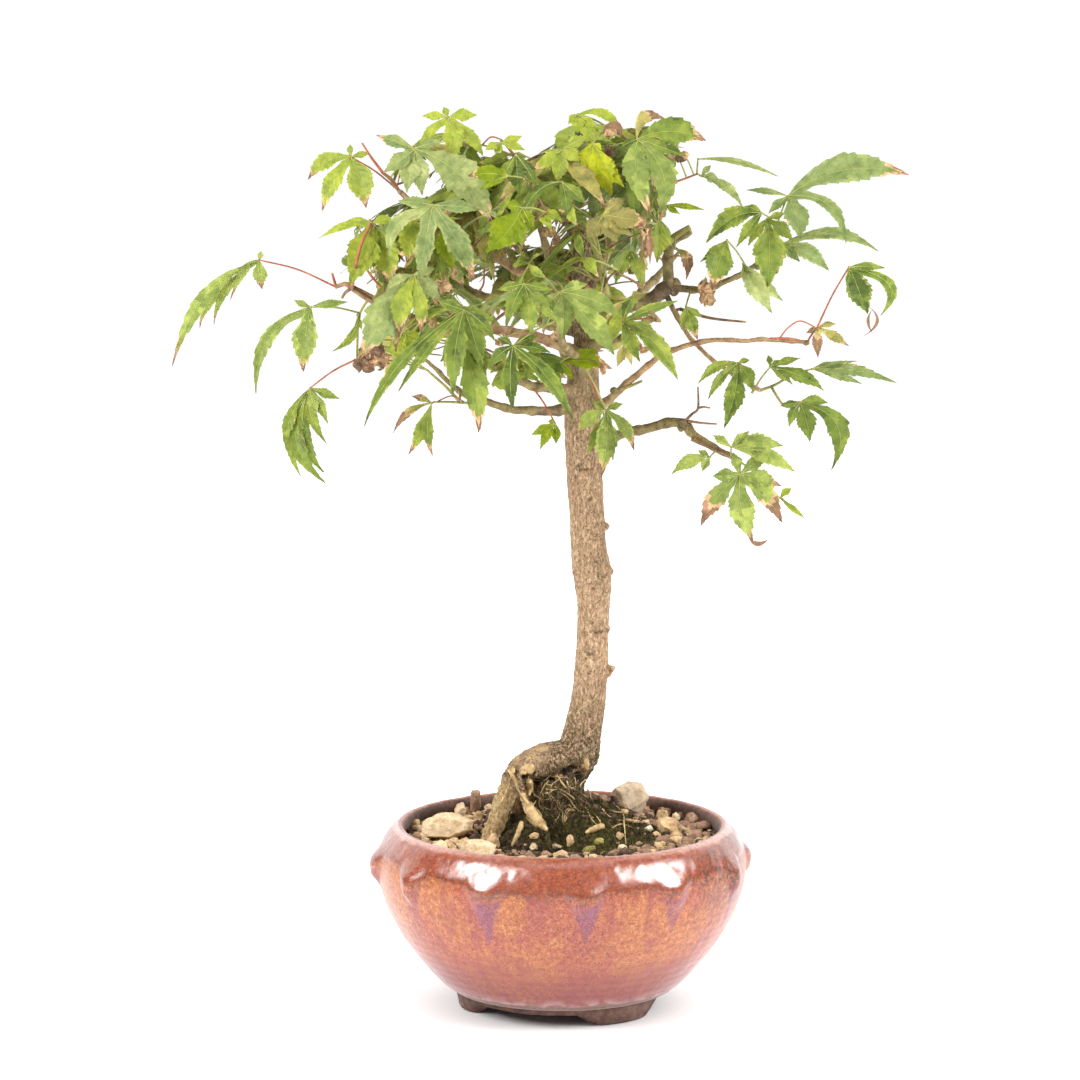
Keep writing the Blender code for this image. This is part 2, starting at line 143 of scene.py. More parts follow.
def fractal(p, octaves=3, gain=0.5):
    p = np.asarray(p, float)
    out, amp = np.zeros(len(p)), 1.0
    for k in range(octaves):
        out += amp * noise(p * 2.0**k + 17.3 * k)
        amp *= gain
    return out


class Heap:
    """Points and triangles of one kind, gathered into one piece."""

    def __init__(self):
        self.points, self.faces, self.count = [], [], 0

    def add(self, points, faces):
        points = np.asarray(points, float)
        faces = np.asarray(faces, int)
        if len(faces) == 0:
            return
        self.points.append(points)
        self.faces.append(faces + self.count)
        self.count += len(points)

    def arrays(self):
        return np.concatenate(self.points), np.concatenate(self.faces)


def grid_faces(rows, cols, closed=False):
    """Triangles of a grid of rows x cols points, rows first."""
    i = np.arange(rows - 1)[:, None]
    j = np.arange(cols if closed else cols - 1)[None, :]
    a = i * cols + j
    b = i * cols + (j + 1) % cols
    c, d = a + cols, b + cols
    tri = np.stack([np.stack([a, b, d], -1), np.stack([a, d, c], -1)], -2)
    return tri.reshape(-1, 3)


def piece(name, points, faces, mats, smooth_shade=True, replaced=(), index=None, attrs=None):
    """One joined mesh in the row frame that rides on the body."""
    points = np.asarray(points, float)
    faces = np.asarray(faces, int)
    used = np.zeros(len(points), bool)
    used[faces.ravel()] = True
    renumber = np.cumsum(used) - 1
    points, faces = points[used], renumber[faces]
    mesh = bpy.data.meshes.new(name)
    mesh.vertices.add(len(points))
    mesh.vertices.foreach_set("co", (points * 0.001 + ORIGIN).astype(np.float32).ravel())
    mesh.loops.add(faces.size)
    mesh.loops.foreach_set("vertex_index", faces.astype(np.int32).ravel())
    mesh.polygons.add(len(faces))
    size = faces.shape[1]
    mesh.polygons.foreach_set("loop_start", np.arange(0, faces.size, size, dtype=np.int32))
    for mat in mats if isinstance(mats, (list, tuple)) else [mats]:
        mesh.materials.append(mat)
    if index is not None:
        mesh.polygons.foreach_set("material_index", np.asarray(index, np.int32))
    mesh.update(calc_edges=True)
    for key, values in (attrs or {}).items():
        layer = mesh.attributes.new(key, "FLOAT", "POINT")
        layer.data.foreach_set("value", np.asarray(values, np.float32)[used])
    mesh.validate()
    if smooth_shade:
        mesh.shade_smooth()
    obj = bpy.data.objects.new(name, mesh)
    scene.collection.objects.link(obj)
    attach(obj, BODY)
    if replaced:
        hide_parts(*replaced)
    return obj


# ================================================================ materials
def srgb(r, g, b):
    """Linear colour of an 8-bit one."""
    out = []
    for c in (r, g, b):
        c /= 255.0
        out.append(c / 12.92 if c <= 0.04045 else ((c + 0.055) / 1.055) ** 2.4)
    return (*out, 1.0)


class Shader:
    """Short words for a node tree."""

    def __init__(self, name):
        self.mat = bpy.data.materials.new(name)
        self.mat.use_nodes = True
        self.tree = self.mat.node_tree
        self.bsdf = self.tree.nodes["Principled BSDF"]
        self.out = self.tree.nodes["Material Output"]

    def node(self, kind, **values):
        n = self.tree.nodes.new(kind)
        for key, value in values.items():
            setattr(n, key, value)
        return n

    def link(self, a, b):
        self.tree.links.new(a, b)

    def place(self):
        if not hasattr(self, "_place"):
            self._place = self.node("ShaderNodeTexCoord").outputs["Object"]
        return self._place

    def noise(self, scale, detail=4.0, rough=0.55, stretch=None, distortion=0.0):
        n = self.node("ShaderNodeTexNoise")
        n.inputs["Scale"].default_value = scale
        n.inputs["Detail"].default_value = detail
        n.inputs["Roughness"].default_value = rough
        n.inputs["Distortion"].default_value = distortion
        if stretch:
            m = self.node("ShaderNodeMapping")
            m.inputs["Scale"].default_value = stretch
            self.link(self.place(), m.inputs["Vector"])
            self.link(m.outputs["Vector"], n.inputs["Vector"])
        else:
            self.link(self.place(), n.inputs["Vector"])
        return n.outputs["Fac"]

    def cells(self, scale, feature="F1", out="Distance"):
        n = self.node("ShaderNodeTexVoronoi")
        n.feature = feature
        n.inputs["Scale"].default_value = scale
        self.link(self.place(), n.inputs["Vector"])
        return n.outputs[out]

    def ramp(self, fac, stops, mode="LINEAR"):
        n = self.node("ShaderNodeValToRGB")
        n.color_ramp.interpolation = mode
        ramp = n.color_ramp
        while len(ramp.elements) < len(stops):
            ramp.elements.new(0.5)
        for e, (pos, col) in zip(ramp.elements, stops):
            e.position = pos
            e.color = col if len(col) == 4 else (*col, 1.0)
        self.link(fac, n.inputs["Fac"])
        return n.outputs["Color"]

    def level(self, fac, low, high):
        """0 below low, 1 above high."""
        n = self.node("ShaderNodeMapRange")
        n.interpolation_type = "SMOOTHSTEP"
        n.inputs["From Min"].default_value = low
        n.inputs["From Max"].default_value = high
        self.link(fac, n.inputs["Value"])
        return n.outputs["Result"]

    def math(self, op, a, b=None):
        n = self.node("ShaderNodeMath", operation=op)
        for k, v in enumerate((a, b)):
            if v is None:
                continue
            if isinstance(v, (int, float)):
                n.inputs[k].default_value = v
            else:
                self.link(v, n.inputs[k])
        return n.outputs[0]

    def mix(self, fac, a, b, mode="MIX"):
        n = self.node("ShaderNodeMix")
        n.data_type = "RGBA"
        n.blend_type = mode
        for key, v in (("Factor", fac), ("A", a), ("B", b)):
            sock = [s for s in n.inputs if s.name == key and s.type == ("VALUE" if key == "Factor" else "RGBA")][0]
            if isinstance(v, (int, float)):
                sock.default_value = v
            elif isinstance(v, tuple):
                sock.default_value = v
            else:
                self.link(v, sock)
        return [s for s in n.outputs if s.type == "RGBA"][0]

    def attr(self, name):
        n = self.node("ShaderNodeAttribute")
        n.attribute_type = "GEOMETRY"
        n.attribute_name = name
        return n.outputs["Fac"]

    def bump(self, height, distance, strength=1.0, after=None):
        n = self.node("ShaderNodeBump")
        n.inputs["Distance"].default_value = distance
        n.inputs["Strength"].default_value = strength
        self.link(height, n.inputs["Height"])
        if after is not None:
            self.link(after, n.inputs["Normal"])
        return n.outputs["Normal"]

    def finish(self, colour=None, rough=None, normal=None, **plain):
        if colour is not None:
            if isinstance(colour, tuple):
                self.bsdf.inputs["Base Color"].default_value = colour
            else:
                self.link(colour, self.bsdf.inputs["Base Color"])
        if rough is not None:
            if isinstance(rough, (int, float)):
                self.bsdf.inputs["Roughness"].default_value = rough
            else:
                self.link(rough, self.bsdf.inputs["Roughness"])
        if normal is not None:
            self.link(normal, self.bsdf.inputs["Normal"])
        for key, value in plain.items():
            self.bsdf.inputs[key.replace("_", " ")].default_value = value
        return self.mat


def leaf_material(name, colour, spread=0.16, through=0.3, rough=0.5):
    """A thin leaf: a little light comes through it."""
    s = Shader(name)
    r, g, b = colour
    dark = srgb(r * (1 - spread), g * (1 - spread * 0.8), b * (1 - spread))
    pale = srgb(min(255, r * (1 + spread * 0.8)), min(255, g * (1 + spread * 0.6)), min(255, b * (1 + spread * 0.9)))
    fine = s.noise(330.0, 6.0, 0.68)
    tint = s.ramp(fine, [(0.32, dark), (0.5, srgb(*colour)), (0.68, pale)])
    ribs = s.noise(1500.0, 2.0, 0.5)
    normal = s.bump(ribs, 0.00012, 0.6)
    s.finish(tint, s.ramp(fine, [(0.3, (rough - 0.08,) * 3), (0.7, (rough + 0.1,) * 3)]), normal, Specular_IOR_Level=0.3)
    trans = s.node("ShaderNodeBsdfTranslucent")
    s.link(tint, trans.inputs["Color"])
    s.link(normal, trans.inputs["Normal"])
    mixer = s.node("ShaderNodeMixShader")
    mixer.inputs["Fac"].default_value = through
    s.link(s.bsdf.outputs["BSDF"], mixer.inputs[1])
    s.link(trans.outputs["BSDF"], mixer.inputs[2])
    s.link(mixer.outputs["Shader"], s.out.inputs["Surface"])
    return s.mat


def twig_material(name, low, high, scale=260.0):
    s = Shader(name)
    n = s.noise(scale, 4.0, 0.6)
    spots = s.level(s.noise(900.0, 2.0), 0.60, 0.72)
    col = s.ramp(n, [(0.34, srgb(*low)), (0.66, srgb(*high))])
    col = s.mix(s.math("MULTIPLY", spots, 0.35), col, srgb(*[c * 0.55 for c in low]))
    return s.finish(col, 0.6, s.bump(s.noise(1400.0, 3.0), 0.0002, 0.7))


def bark_material():
    s = Shader("maple_bark")
    streak = s.noise(1350.0, 5.0, 0.68, (1.0, 1.0, 0.42), 0.3)
    patch = s.noise(90.0, 4.0, 0.6, (1.0, 1.0, 0.45))
    speck = s.noise(1750.0, 4.0, 0.74, (1.0, 1.0, 0.8))
    fleck = s.noise(900.0, 2.0, 0.5, (1.0, 1.0, 0.7))
    col = s.ramp(
        streak,
        [
            (0.30, srgb(118, 92, 66)),
            (0.42, srgb(158, 128, 98)),
            (0.54, srgb(198, 164, 129)),
            (0.68, srgb(238, 208, 170)),
        ],
    )
    col = s.mix(s.math("MULTIPLY", s.attr("pink"), 0.34), col, srgb(204, 158, 132))
    col = s.mix(s.math("MULTIPLY", s.level(patch, 0.52, 0.70), 0.40), col, srgb(152, 128, 90))
    col = s.mix(s.math("MULTIPLY", s.level(speck, 0.55, 0.62), 0.92), col, srgb(92, 67, 47))
    col = s.mix(s.math("MULTIPLY", s.level(fleck, 0.64, 0.72), 0.55), col, srgb(232, 212, 182))
    grit = s.noise(1700.0, 4.0, 0.72, (1.0, 1.0, 0.7))
    crust = s.ramp(grit, [(0.36, srgb(40, 28, 19)), (0.46, srgb(88, 68, 48)), (0.54, srgb(140, 113, 82)), (0.66, srgb(224, 196, 156))])
    col = s.mix(s.math("MULTIPLY", s.attr("old"), s.level(fleck, 0.66, 0.50)), col, crust)
    col = s.mix(s.attr("green"), col, s.ramp(streak, [(0.3, srgb(108, 98, 58)), (0.7, srgb(176, 164, 108))]))
    # painted shade of the crown on the upper trunk, and dark knots and notches
    col = s.mix(s.attr("painted_shade_and_knots"), col, s.ramp(streak, [(0.36, srgb(44, 33, 22)), (0.5, srgb(104, 84, 58)), (0.64, srgb(176, 150, 110))]))
    mossy = s.ramp(speck, [(0.30, srgb(26, 24, 12)), (0.46, srgb(56, 48, 28)), (0.58, srgb(88, 76, 42)), (0.74, srgb(150, 132, 84))])
    col = s.mix(s.attr("moss"), col, mossy)
    col = s.mix(s.attr("wood"), col, s.ramp(streak, [(0.3, srgb(156, 118, 72)), (0.44, srgb(196, 160, 104)), (0.56, srgb(216, 190, 140)), (0.7, srgb(242, 222, 178))]))
    col = s.mix(s.math("MULTIPLY", s.attr("wood"), s.math("MULTIPLY", s.level(speck, 0.55, 0.64), 0.75)), col, srgb(92, 70, 42))
    # near black in the hollows: painted shade
    col = s.mix(s.attr("hollow_painted_dark"), col, srgb(34, 25, 18))
    normal = s.bump(speck, 0.0007, 0.9, s.bump(streak, 0.0010, 0.8))
    return s.finish(col, 0.82, normal, Specular_IOR_Level=0.25)


def glaze_material():
    """Copper-red glaze: a thick darker collar, gold mottling, violet runs, thin at the foot."""
    s = Shader("copper_glaze")
    fine = s.noise(1700.0, 3.0, 0.7)
    mottle = s.noise(680.0, 6.0, 0.72)
    broad = s.noise(52.0, 4.0, 0.6)
    streaks = s.noise(160.0, 4.0, 0.6, (1.0, 1.0, 0.22))
    rose = s.ramp(mottle, [(0.32, srgb(128, 52, 39)), (0.45, srgb(148, 70, 49)), (0.55, srgb(164, 86, 58)), (0.68, srgb(184, 110, 75))])
    gold = s.ramp(mottle, [(0.32, srgb(134, 66, 33)), (0.46, srgb(160, 88, 46)), (0.56, srgb(176, 106, 57)), (0.68, srgb(194, 132, 81))])
    body = s.mix(s.level(broad, 0.44, 0.56), gold, rose)
    body = s.mix(s.math("MULTIPLY", s.level(fine, 0.56, 0.66), 0.45), body, srgb(210, 146, 104))
    body = s.mix(s.math("MULTIPLY", s.level(fine, 0.45, 0.36), 0.8), body, srgb(84, 30, 22))
    body = s.mix(s.math("MULTIPLY", s.level(streaks, 0.52, 0.64), 0.5), body, srgb(128, 50, 58))
    collar = s.ramp(mottle, [(0.32, srgb(104, 34, 14)), (0.5, srgb(140, 58, 24)), (0.68, srgb(166, 84, 36))])
    collar = s.mix(s.math("MULTIPLY", s.level(fine, 0.57, 0.68), 0.55), collar, srgb(196, 116, 66))
    collar = s.mix(s.math("MULTIPLY", s.level(fine, 0.45, 0.36), 0.6), collar, srgb(84, 30, 17))
    ragged = s.math("ADD", s.attr("collar"), s.math("MULTIPLY", s.math("SUBTRACT", mottle, 0.5), 1.5))
    col = s.mix(s.level(ragged, 0.30, 0.70), body, collar)
    col = s.mix(s.math("MULTIPLY", s.attr("low"), s.level(mottle, 0.35, 0.6)), col, srgb(120, 44, 44))
    col = s.mix(s.attr("drip"), col, s.ramp(fine, [(0.35, srgb(98, 42, 66)), (0.65, srgb(138, 76, 102))]))
    dark = s.math("MULTIPLY", s.attr("dark"), s.level(s.noise(900.0, 4.0, 0.7), 0.47, 0.56))
    col = s.mix(dark, col, srgb(78, 46, 28))
    # pale rim lip of thin glaze; its weight grows towards the left and right sides of the pot, a painted sheen there
    lip_and_side_sheen = s.ramp(mottle, [(0.35, srgb(172, 122, 108)), (0.6, srgb(212, 168, 152))])
    col = s.mix(s.attr("lip_and_side_sheen"), col, lip_and_side_sheen)
    col = s.mix(s.attr("inside"), col, s.ramp(mottle, [(0.35, srgb(66, 46, 38)), (0.6, srgb(106, 78, 64))]))
    col = s.mix(s.math("MULTIPLY", s.attr("edge"), s.level(s.noise(300.0, 4.0), 0.36, 0.60)), col, srgb(170, 128, 126))
    col = s.mix(s.attr("bare"), col, s.ramp(mottle, [(0.35, srgb(104, 78, 70)), (0.65, srgb(142, 112, 100))]))
    rough = s.mix(s.attr("dull"), (0.10, 0.10, 0.10, 1.0), (0.62, 0.62, 0.62, 1.0))
    normal = s.bump(fine, 0.00012, 0.25, s.bump(mottle, 0.0006, 0.25))
    s.finish(col, rough, normal, IOR=1.52, Coat_Roughness=0.23, Coat_IOR=2.0, Sheen_Weight=0.5, Sheen_Roughness=0.30, Sheen_Tint=(1.0, 0.90, 0.96, 1.0))
    s.link(s.attr("shine"), s.bsdf.inputs["Coat Weight"])
    return s.mat


def clay_material():
    s = Shader("foot_clay")
    n = s.noise(220.0, 6.0, 0.65)
    col = s.ramp(n, [(0.3, srgb(76, 54, 48)), (0.5, srgb(106, 80, 71)), (0.72, srgb(142, 114, 104))])
    col = s.mix(s.math("MULTIPLY", s.level(s.noise(1200.0, 2.0), 0.62, 0.72), 0.6), col, srgb(70, 48, 42))
    return s.finish(col, 0.85, s.bump(n, 0.0008, 0.5), Specular_IOR_Level=0.3)


def grain_material(name, low, mid, high, scale=520.0, bump=0.0008):
    s = Shader(name)
    n = s.noise(scale, 6.0, 0.7)
    col = s.ramp(n, [(0.28, srgb(*low)), (0.5, srgb(*mid)), (0.72, srgb(*high))])
    col = s.mix(s.math("MULTIPLY", s.level(s.noise(scale * 2.6, 3.0), 0.60, 0.72), 0.5), col, srgb(*[c * 0.6 for c in low]))
    return s.finish(col, 0.92, s.bump(n, bump, 0.8), Specular_IOR_Level=0.2)


# ================================================================ light and floor
def make_light():
    world = bpy.data.worlds.new("studio")
    scene.world = world
    world.use_nodes = True
    back = world.node_tree.nodes["Background"]
    back.inputs["Color"].default_value = (1.0, 1.0, 1.0, 1.0)
    back.inputs["Strength"].default_value = 0.36
    middle = Vector((0, 0, 60))
    for name, turn, lift, away, wide, deep, power in (
        ("soft_left", -57, 34, 950, 0.44, 0.37, 9.2),
        ("soft_right", 68, 31, 950, 0.58, 0.33, 9.2),
        ("soft_top", 10, 74, 1500, 1.10, 0.70, 2.2),
        ("soft_back_left", -146, 24, 1150, 1.25, 0.95, 4.4),
        ("soft_back_right", 146, 24, 1150, 1.25, 0.95, 4.4),
    ):
        data = bpy.data.lights.new(name, "AREA")
        data.shape = "RECTANGLE"
        data.size, data.size_y = wide, deep
        data.energy = power
        obj = bpy.data.objects.new(name, data)
        scene.collection.objects.link(obj)
        turn, lift = radians(turn), radians(lift)
        where = middle + Vector((sin(turn) * cos(lift), -cos(turn) * cos(lift), sin(lift))) * away
        obj.location = where * 0.001 + Vector(ORIGIN)
        obj.rotation_euler = (where - middle).to_track_quat("Z", "Y").to_euler()
        obj.visible_camera = False
    scene.view_settings.view_transform = "Standard"
    scene.view_settings.look = "None"

    mesh = bpy.data.meshes.new("floor")
    half = 30.0
    mesh.from_pydata([(-half, -half, 0), (half, -half, 0), (half, half, 0), (-half, half, 0)], [], [(0, 1, 2, 3)])
    s = Shader("pale_floor")
    s.finish(
        (0.80, 0.80, 0.80, 1.0),
        0.7,
        None,
        Specular_IOR_Level=0.1,
        Emission_Color=(1.0, 0.995, 1.0, 1.0),
    )
    # The floor glows, a painted light that keeps it white all round. The glow fades out towards the middle of the floor
    # under the pot, between 28 and 74 mm from it, so there the floor is lit only by the lamps and shows a darker
    # painted pool of shade.
    away = s.node("ShaderNodeVectorMath", operation="LENGTH")
    s.link(s.place(), away.inputs[0])
    s.link(s.math("MULTIPLY", s.level(away.outputs["Value"], 0.028, 0.074), 0.76), s.bsdf.inputs["Emission Strength"])
    mesh.materials.append(s.mat)
    floor = bpy.data.objects.new("floor", mesh)
    scene.collection.objects.link(floor)
    floor.location = (0, 0, -0.0002)


# ================================================================ pot
POT_WALL = [
    (31.0, 5.3), (34.5, 6.0), (37.3, 8.0), (42.3, 13.2), (48.7, 21.2), (53.5, 29.0), (56.7, 37.0),
    (57.9, 44.0), (57.2, 49.8), (55.3, 54.2), (53.3, 56.8), (51.6, 57.9), (50.1, 57.6), (49.4, 56.0), (50.2, 52.6),
    (52.0, 45.0), (50.6, 36.0), (44.6, 24.0), (37.0, 14.6), (30.0, 10.5),
]
BOSS_COUNT, BOSS_FIRST = 12, 6.0


def spline(stations, count):
    """Evenly spaced points of a Catmull-Rom curve through the stations."""
    pts = np.asarray(stations, float)
    ends = np.vstack([2 * pts[0] - pts[1], pts, 2 * pts[-1] - pts[-2]])
    t = np.linspace(0, 1, 24, endpoint=False)[:, None]
    out = []
    for i in range(1, len(ends) - 2):
        p0, p1, p2, p3 = ends[i - 1 : i + 3]
        out.append(0.5 * (2 * p1 + (p2 - p0) * t + (2 * p0 - 5 * p1 + 4 * p2 - p3) * t**2 + (3 * p1 - p0 - 3 * p2 + p3) * t**3))
    out.append(pts[-1:])
    out = np.vstack(out)
    run = np.concatenate([[0], np.cumsum(np.linalg.norm(np.diff(out, axis=0), axis=1))])
    where = np.linspace(0, run[-1], count)
    return np.stack([np.interp(where, run, out[:, k]) for k in range(out.shape[1])], 1)


def make_pot():
    cols, rows = 480, 176
    wall = spline(POT_WALL, rows)
    along = np.arange(rows)
    lip_row = int(np.argmax(wall[:, 1]))
    outer = along <= lip_row
    angle = np.linspace(0, 360, cols, endpoint=False)
    A, R = np.meshgrid(angle, wall[:, 0])
    _, Z = np.meshgrid(angle, wall[:, 1])
    O = np.repeat(outer[:, None], cols, 1)
    ux, uy = np.sin(np.radians(A)), -np.cos(np.radians(A))

    # a boss every 30 degrees, broad above and drawn to a point below
    off = (A - BOSS_FIRST + 15) % 30 - 15
    number = np.round((A - BOSS_FIRST) / 30).astype(int) % BOSS_COUNT
    rng = np.random.RandomState(4)
    lean = rng.uniform(-0.8, 0.8, BOSS_COUNT)[number]
    size = rng.uniform(0.85, 1.15, BOSS_COUNT)[number]
    down = Z - 46.0
    half = np.interp(down, [-7, -4, 0, 4, 8], [1.2, 3.6, 5.6, 6.6, 7.0]) * size
    across = np.clip(1 - (np.abs(off - lean) / half) ** 2, 0, 1) ** 1.3
    height = smooth(np.interp(down, [-8.5, -6.0, -3.0, 0, 2.0, 4.6, 9.0], [0, 0.28, 0.8, 1.0, 0.86, 0.46, 0]))
    boss = 2.3 * across * height * size * O * (1 - 0.42 * smooth((np.cos(np.radians(A)) - 0.55) / 0.3))

    # the thick collar of glaze hangs in scallops from boss to boss
    place = np.stack([ux * 58, uy * 58, Z], -1).reshape(-1, 3)
    wob = fractal(place * 0.16, 3).reshape(A.shape)
    wob2 = fractal(place * 0.45 + 9, 2).reshape(A.shape)
    u = np.abs(off - lean) / 15
    bay = np.floor((A - BOSS_FIRST) / 30).astype(int) % BOSS_COUNT
    rise = np.array([2.4, 2.8, 5.0, 4.0, 5.4, 3.0, 5.0, 4.0, 5.6, 4.6, 3.8, 1.4])[bay]
    edge = 45.6 + rise * smooth(u * 1.5) + 0.9 * wob
    collar = smooth((Z - edge) / 2.4 + 0.5) * O
    bead = np.exp(-(((Z - edge - 0.9) / 1.3) ** 2)) * O
    thick = 0.12 * collar + 0.03 * bead
    R = R + boss + thick + 0.10 * wob + 0.05 * wob2
    # throwing rings and the glaze line over the bare foot
    R += 0.05 * np.sin(Z * 2.4) * O * (Z < 40)
    foot_line = 7.6 + 0.6 * wob
    glazed = smooth((Z - foot_line) / 0.5)
    R += 0.30 * glazed * O * smooth((30 - Z) / 10)
    P = np.stack([ux * R, uy * R, Z + 0.12 * wob * (Z > 50)], -1)

    run = np.clip((edge - Z) / (8.0 + 9.0 * rng.uniform(0.5, 1.1, BOSS_COUNT)[number]), 0, 1)
    wide = 5.0 * (1 - run) ** 1.15 + 0.4
    drip = smooth((wide - np.abs(off - lean - 0.6)) / 1.6 + 0.5) * smooth((edge - Z - 0.6) / 1.2) * (run < 1) * O
    drip *= np.array([0.95, 0.75, 0.75, 0.5, 0.8, 0.9, 0.6, 0.9, 0.7, 0.85, 0.5, 0.95])[number]
    drip *= np.clip(0.8 + 0.5 * wob2, 0.3, 1)
    attrs = {
        "collar": collar,
        "drip": drip,
        # the rim lip, weighted up at the left and right sides: painted sheen there
        "lip_and_side_sheen": smooth((Z - 56.4 + 0.5 * wob) / 0.9) * O * (0.10 + 0.80 * np.abs(np.sin(np.radians(A)))),
        "inside": np.where(O, 0, 1) * smooth((57.9 - Z + 0.2 * wob) / 0.5),
        "low": smooth((29 - Z + 3 * wob) / 16) * O,
        "shine": np.clip(smooth((Z - edge + 0.4) / 3.0) + 0.10 * glazed, 0, 1) * O * (1 - 0.6 * smooth((Z - 56.2) / 0.8)) * (1 - 0.5 * smooth((np.abs(np.sin(np.radians(A))) - 0.42) / 0.30)),
        "edge": np.exp(-(((Z - foot_line - 0.6) / 1.5) ** 2)) * O,
        "bare": np.maximum((1 - glazed) * O, np.where(O, 0, 1) * (Z < 40)),
        "dull": np.clip((1 - glazed) * O + np.where(O, 0, 1) * smooth((58.0 - Z) / 0.4) + 0.10 * smooth((Z - 56.5) / 1.0) + 0.40 * O * (1 - collar), 0, 1),
        "dark": np.clip(np.exp(-(((Z - edge - 0.6) / 1.7) ** 2)) * 0.75 + smooth((np.cos(np.radians(A - 66)) - 0.90) / 0.08) * smooth((Z - 30) / 14) * 0.8, 0, 1) * O,
    }
    faces = grid_faces(rows, cols, True)
    pts = P.reshape(-1, 3)
    # close the underside and the inner floor
    under, floor_in = len(pts), len(pts) + 1
    pts = np.vstack([pts, [[0, 0, 5.3]], [[0, 0, 10.5]]])
    first = np.arange(cols)
    nxt = (first + 1) % cols
    last = (rows - 1) * cols + first
    caps = np.vstack(
        [np.stack([nxt, first, np.full(cols, under)], 1), np.stack([last, (rows - 1) * cols + nxt, np.full(cols, floor_in)], 1)]
    )
    flat = {k: np.concatenate([v.ravel(), [v[0, 0], v[-1, 0]]]) for k, v in attrs.items()}
    pot = piece("pot_glazed", pts, np.vstack([faces, caps]), glaze_material(), True, ("pot",), attrs=flat)

    # three feet of bare clay with rounded corners, let into the base
    heap = Heap()
    for angle_deg in (39.0, -85.0, 155.0):
        a = radians(angle_deg)
        out_dir, side_dir = np.array([sin(a), -cos(a), 0]), np.array([cos(a), sin(a), 0])
        ring, levels = 56, 22
        pts = []
        for i in range(levels):
            t = i / (levels - 1)
            z = 0.0 + 7.0 * t
            grow = smooth(min(1, max(0, (z - 0.6) / 5.2)))
            w = 10.8 + 8.2 * min(1, max(0, (z - 0.5) / 5.6))
            d = 3.6 + 1.0 * grow
            if z < 0.7:
                w -= 0.8 * (1 - z / 0.7) ** 2
                d -= 0.8 * (1 - z / 0.7) ** 2
            for k in range(ring):
                q = 2 * pi * k / ring
                c, s_ = cos(q), sin(q)
                x = w * np.sign(c) * abs(c) ** 0.55
                y = d * np.sign(s_) * abs(s_) ** 0.6
                bend = -(x * x) / (2 * 31.0)  # the foot follows the round base
                p = out_dir * (29.0 + y + bend) + side_dir * x
                pts.append((p[0], p[1], z))
        pts = np.array(pts)
        pts[:, :2] += (0.16 * fractal(pts * 0.5, 2))[:, None] * unit(np.array([out_dir[0], out_dir[1]]))
        f = grid_faces(levels, ring, True)
        base = len(pts)
        pts = np.vstack([pts, [[*(out_dir * 28.6)[:2], 0.0]], [[*(out_dir * 28.6)[:2], 7.0]]])
        k = np.arange(ring)
        n = (k + 1) % ring
        top = (levels - 1) * ring
        f = np.vstack([f, np.stack([n, k, np.full(ring, base)], 1), np.stack([top + k, top + n, np.full(ring, base + 1)], 1)])
        heap.add(pts, f)
    ring = spline([(24.0, 5.6), (27.0, 3.6), (29.6, 3.2), (31.4, 4.2), (31.6, 6.0)], 14)
    q = np.linspace(0, 2 * pi, 160, endpoint=False)
    rows = [np.column_stack([r_ * np.sin(q), -r_ * np.cos(q), np.full(160, z_)]) for r_, z_ in ring]
    pts = np.vstack(rows)
    pts[:, 2] += 0.15 * fractal(pts * 0.3, 2)
    heap.add(pts, grid_faces(len(ring), 160, True))
    pts, f = heap.arrays()
    piece("pot_feet", pts, f, clay_material(), True)


# ================================================================ trunk, roots and boughs
TRUNK = [
    (0.0, 12.0, 58.0, 7.6), (0.2, 12.0, 63.0, 6.9), (1.2, 12.0, 70.0, 6.2), (4.9, 12.0, 78.0, 6.7), (6.4, 12.0, 84.0, 6.1),
    (8.4, 11.5, 95.0, 5.5), (9.4, 11.0, 107.0, 5.2), (9.9, 10.5, 122.0, 5.0), (9.9, 10.5, 131.0, 5.6), (9.4, 10.0, 137.0, 6.1),
    (8.4, 10.0, 144.0, 5.6), (7.9, 9.5, 154.0, 5.5), (6.9, 9.0, 170.0, 5.6), (6.4, 8.0, 190.0, 5.6), (6.9, 8.0, 200.0, 4.6),
    (7.4, 7.5, 209.0, 3.8), (6.4, 7.0, 222.0, 3.3), (5.9, 6.0, 235.0, 3.0), (7.4, 6.0, 243.0, 2.6), (7.7, 6.0, 246.0, 1.8),
]
ROOTS = {
    "root_left": [(4, 12, 76, 6.0), (-5, 8, 76, 6.0), (-13, 3, 73.4, 4.6), (-17.4, -1, 67, 3.1), (-21.6, -5, 56, 2.9), (-22.6, -6, 50, 3.0)],
    "root_front": [(-12, 1, 77, 0.9), (-13, -6, 72, 0.8), (-11.5, -9, 67, 1.1), (-9, -13, 63.5, 1.9), (-6.2, -18, 59, 2.1), (-4, -21, 55.6, 1.3), (-3, -23, 53, 0.8)],
    "root_back": [(3, 14, 72, 4.0), (-2, 22, 68, 3.2), (-8, 30, 60, 2.6), (-12, 36, 54, 2.0), (-13, 38, 51, 1.8)],
}
